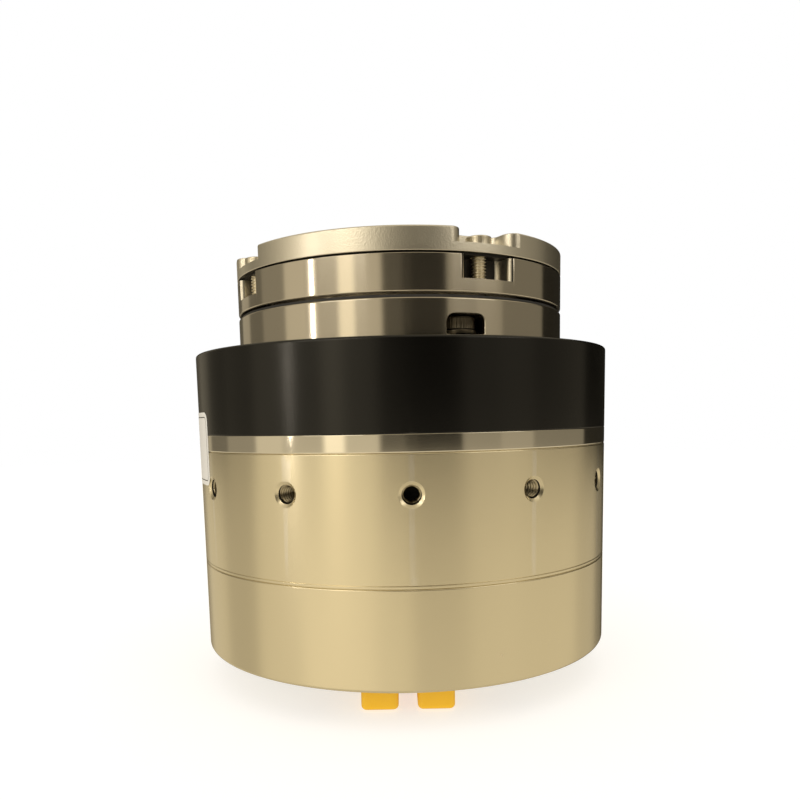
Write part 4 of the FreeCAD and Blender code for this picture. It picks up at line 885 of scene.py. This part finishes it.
def bareSticker():
    radius = housingRadius + sticker["proud"]
    half, centreZ = sticker["width"] / 2, (sticker["low"] + sticker["high"]) / 2
    tall = (sticker["high"] - sticker["low"]) / 2
    middle = sticker["right"] - math.degrees(half / radius)
    outline = roundedBox(half, -tall, tall, sticker["corner"], sticker["corner"], steps=8)
    dense = []
    for index, point in enumerate(outline):
        after = outline[(index + 1) % len(outline)]
        pieces = max(1, int((after - point).length / sticker["facet"]))
        dense += [point.lerp(after, piece / pieces) for piece in range(pieces)]
    rim, border = grown(dense, 0), grown(dense, -sticker["inset"])
    field = grown(dense, -sticker["inset"] - sticker["line"])
    rings = [(rim, -sticker["sunk"]), (rim, 0), (border, 0), (field, 0)]
    rings += [([point * share for point in field], 0) for share in sticker["fill"]]
    loops = [[polar(radius + lift, middle + math.degrees(point.x / radius), centreZ + point.y)
              for point in ring] for ring, lift in rings]
    made = makeObject("bareSticker", joined(loops))
    finishPiece(made, "housing", "satin_aluminium", finishName="paper")
    made.data.materials.append(materials["ink"])
    for polygon in made.data.polygons[2 * len(dense):3 * len(dense)]:      # the printed border
        polygon.material_index = 1


rearCover()
motorHousing()
sideHoleThreads()
polishedBand()
blackRing()
print("stage: housing shells built")
splineRing()
outputRing()
outputPlate()
flangeScrews()
reducerScrews()
lockWashers()
print("stage: output stage built")
for side, spot in zip(("left", "right"), socketPlaces()):
    powerSocket("powerSocket" + side.capitalize(), spot, "power_connector_" + side)
bareSticker()
print("stage: connectors and sticker built")


# The tent is a closed cylinder of light round the part that only reflections see; its heights are metres.
# From a little below the part's foot downwards its light is the table's, and its ends have a level of their
# own. A stretch of wall or table is (direction where it starts, level): directions run from -180 to 180, with
# 0 towards the camera and right positive.
tent = {"radius": 0.9, "low": -0.9, "high": 1.3, "segments": 96, "tint": (1.0, 0.87, 0.62), "edge": 1.5,
        "tableFrom": -0.018, "tableTo": -0.04, "endFrom": 0.5, "endTo": 0.85, "endLevel": 0.55,
        "wall": [(-180, 0.02), (-165, 0.12), (-145, 0.38), (-128, 0.16), (-108, 0.28), (-84, 0.60),
                 (-66, 0.46), (-42, 1.10), (-31, 0.54), (-13, 0.09), (0, 0.04), (6, 0.02), (29, 0.26),
                 (50, 0.33), (70, 0.20), (112, 0.02)],
        "table": [(-180, 0.03), (-165, 0.30), (-145, 0.60), (-116, 0.46), (-88, 0.66), (-58, 0.82),
                  (-18, 0.74), (2, 0.60), (32, 0.66), (60, 0.64), (105, 0.50), (130, 0.22), (146, 0.03)]}


def tentColor(strength):
    return (*(channel * strength for channel in tent["tint"]), 1)


# Colour of the light for a share of the way round, with soft changes from one stretch to the next.
def ringOfLight(tree, share, stretches):
    ramp = tree.nodes.new("ShaderNodeValToRGB")
    levels = [stretches[0]]
    for (_, before), (direction, strength) in zip(stretches, stretches[1:]):
        levels += [(direction - tent["edge"] / 2, before), (direction + tent["edge"] / 2, strength)]
    stops = ramp.color_ramp.elements
    while len(stops) < len(levels):
        stops.new(0.5)
    for stop, (direction, strength) in zip(stops, levels):
        stop.position = direction / 360 + 0.5
        stop.color = tentColor(strength)
    tree.links.new(share, ramp.inputs[0])
    return ramp.outputs[0]


# Share from 0 to 1 while a value goes from one limit to the other.
def shareBetween(tree, value, start, end):
    ramp = tree.nodes.new("ShaderNodeMapRange")
    ramp.inputs["From Min"].default_value, ramp.inputs["From Max"].default_value = start, end
    tree.links.new(value, ramp.inputs["Value"])
    return ramp.outputs[0]


# Stage piece from its points and faces, in metres, with a new node material.
def stagePiece(name, points, faces):
    mesh = bpy.data.meshes.new(name)
    mesh.from_pydata(points, [], faces)
    piece = bpy.data.objects.new(name, mesh)
    bpy.context.scene.collection.objects.link(piece)
    material = bpy.data.materials.new(name)
    material.use_nodes = True
    mesh.materials.append(material)
    piece.visible_shadow = False
    piece.visible_diffuse = False
    return piece, material.node_tree


def lightTent():
    segments = tent["segments"]
    points = [polar(tent["radius"], 360 * step / segments, z) for step in range(segments)
              for z in (tent["low"], tent["high"])]
    steps = [(2 * step, 2 * ((step + 1) % segments)) for step in range(segments)]
    faces = [(here, here + 1, there + 1, there) for here, there in steps]
    faces += [tuple(range(0, 2 * segments, 2)), tuple(range(1, 2 * segments, 2))]
    wall, tree = stagePiece("lightTent", points, faces)
    wall.visible_camera = False
    tree.nodes.clear()
    split = tree.nodes.new("ShaderNodeSeparateXYZ")
    tree.links.new(tree.nodes.new("ShaderNodeTexCoord").outputs["Object"], split.inputs[0])
    x, y, z = split.outputs
    angle = mathNode(tree, "ARCTAN2", x, mathNode(tree, "MULTIPLY", y, -1.0))
    share = mathNode(tree, "ADD", mathNode(tree, "DIVIDE", angle, math.tau), 0.5)
    wallLight, tableLight = [ringOfLight(tree, share, tent[name]) for name in ("wall", "table")]
    side = colorMix(tree, shareBetween(tree, z, tent["tableFrom"], tent["tableTo"]), wallLight, tableLight)
    ends = shareBetween(tree, mathNode(tree, "ABSOLUTE", z), tent["endFrom"], tent["endTo"])
    glow = tree.nodes.new("ShaderNodeEmission")
    tree.links.new(colorMix(tree, ends, side, tentColor(tent["endLevel"])), glow.inputs["Color"])
    out = tree.nodes.new("ShaderNodeOutputMaterial")
    tree.links.new(glow.outputs[0], out.inputs["Surface"])


# direction and height in degrees as seen from the part, distance and size in metres, power in watts
lamps = {
    "narrowLeft": {"direction": -61, "height": 9.8, "distance": 0.85, "size": (0.012, 0.30), "power": 0.26,
                   "color": (1.0, 0.90, 0.74)},
    "softLeft": {"direction": -40, "height": 27, "distance": 0.8, "size": (0.45, 0.25), "power": 0.6,
                 "color": (1.0, 0.92, 0.78)},
    "softRight": {"direction": 50, "height": 27, "distance": 0.8, "size": (0.45, 0.25), "power": 0.4,
                  "color": (1.0, 0.92, 0.78)},
}


def makeLamps():
    aim = Vector((0, 0, level["housingTop"] * mm))
    for name, values in lamps.items():
        data = bpy.data.lights.new(name, "AREA")
        data.shape = "RECTANGLE"
        data.size, data.size_y = values["size"]
        data.energy = values["power"]
        data.color = values["color"]
        lamp = bpy.data.objects.new(name, data)
        bpy.context.scene.collection.objects.link(lamp)
        rise = math.radians(values["height"])
        away = polar(math.cos(rise), values["direction"], math.sin(rise)) * values["distance"]
        lamp.location = aim + away
        lamp.rotation_mode = "QUATERNION"
        lamp.rotation_quaternion = away.to_track_quat("Z", "Y")


paleFloor = {"radius": 0.85, "segments": 96, "drop": 0.0002, "pale": 0.55, "glow": 0.6}


# Metals reflect only the tent and the lamps; the floor shows to the camera and takes the part's shadow.
def makeFloor():
    segments, under = paleFloor["segments"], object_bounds()[0][2] - paleFloor["drop"]
    rim = [polar(paleFloor["radius"], 360 * step / segments, under) for step in range(segments)]
    ground, tree = stagePiece("paleFloor", rim, [tuple(range(segments))])
    ground.visible_glossy = False
    shader = tree.nodes["Principled BSDF"]
    shader.inputs["Base Color"].default_value = (paleFloor["pale"],) * 3 + (1,)
    shader.inputs["Roughness"].default_value = 1.0
    shader.inputs["Specular IOR Level"].default_value = 0.0
    shader.inputs["Emission Color"].default_value = (1, 1, 1, 1)
    shown = tree.nodes.new("ShaderNodeLightPath").outputs["Is Camera Ray"]
    tree.links.new(mathNode(tree, "MULTIPLY", shown, paleFloor["glow"]), shader.inputs["Emission Strength"])


# shown: what rays of sight see; cast: what falls on the part
worldLight = {"shown": (1, 1, 1, 1), "cast": (0.92, 0.86, 0.76, 1)}


def makeWorld():
    world = bpy.data.worlds.new("studioWorld")
    bpy.context.scene.world = world
    world.use_nodes = True
    tree = world.node_tree
    rays = tree.nodes.new("ShaderNodeLightPath")
    seen = mathNode(tree, "MAXIMUM", rays.outputs["Is Camera Ray"], rays.outputs["Is Glossy Ray"])
    seen = mathNode(tree, "MAXIMUM", seen, rays.outputs["Is Transmission Ray"])
    color = colorMix(tree, seen, worldLight["cast"], worldLight["shown"])
    tree.links.new(color, tree.nodes["Background"].inputs["Color"])


# place in millimetres; down, heading and roll in degrees; lens and sensor in millimetres
camera = {"place": (-4.87, -145.57, 41.23), "down": 7.17, "heading": -1.65, "roll": -1.18, "lens": 33.48,
          "sensor": 36.0, "shift": 0.1399}


def makeCamera():
    data = bpy.data.cameras.new("camera")
    data.lens, data.sensor_width, data.shift_y = camera["lens"], camera["sensor"], camera["shift"]
    data.clip_start, data.clip_end = 0.01, 10.0
    eye = bpy.data.objects.new("camera", data)
    bpy.context.scene.collection.objects.link(eye)
    turn = (Matrix.Rotation(math.radians(camera["heading"]), 4, "Z")
            @ Matrix.Rotation(math.radians(90 - camera["down"]), 4, "X")
            @ Matrix.Rotation(math.radians(camera["roll"]), 4, "Z"))
    eye.matrix_world = Matrix.Translation(Vector(camera["place"]) * mm) @ turn
    bpy.context.scene.camera = eye


makeFloor()
lightTent()
makeLamps()
makeWorld()
makeCamera()
bpy.context.scene.view_settings.view_transform = "Standard"
print("stage: studio set")
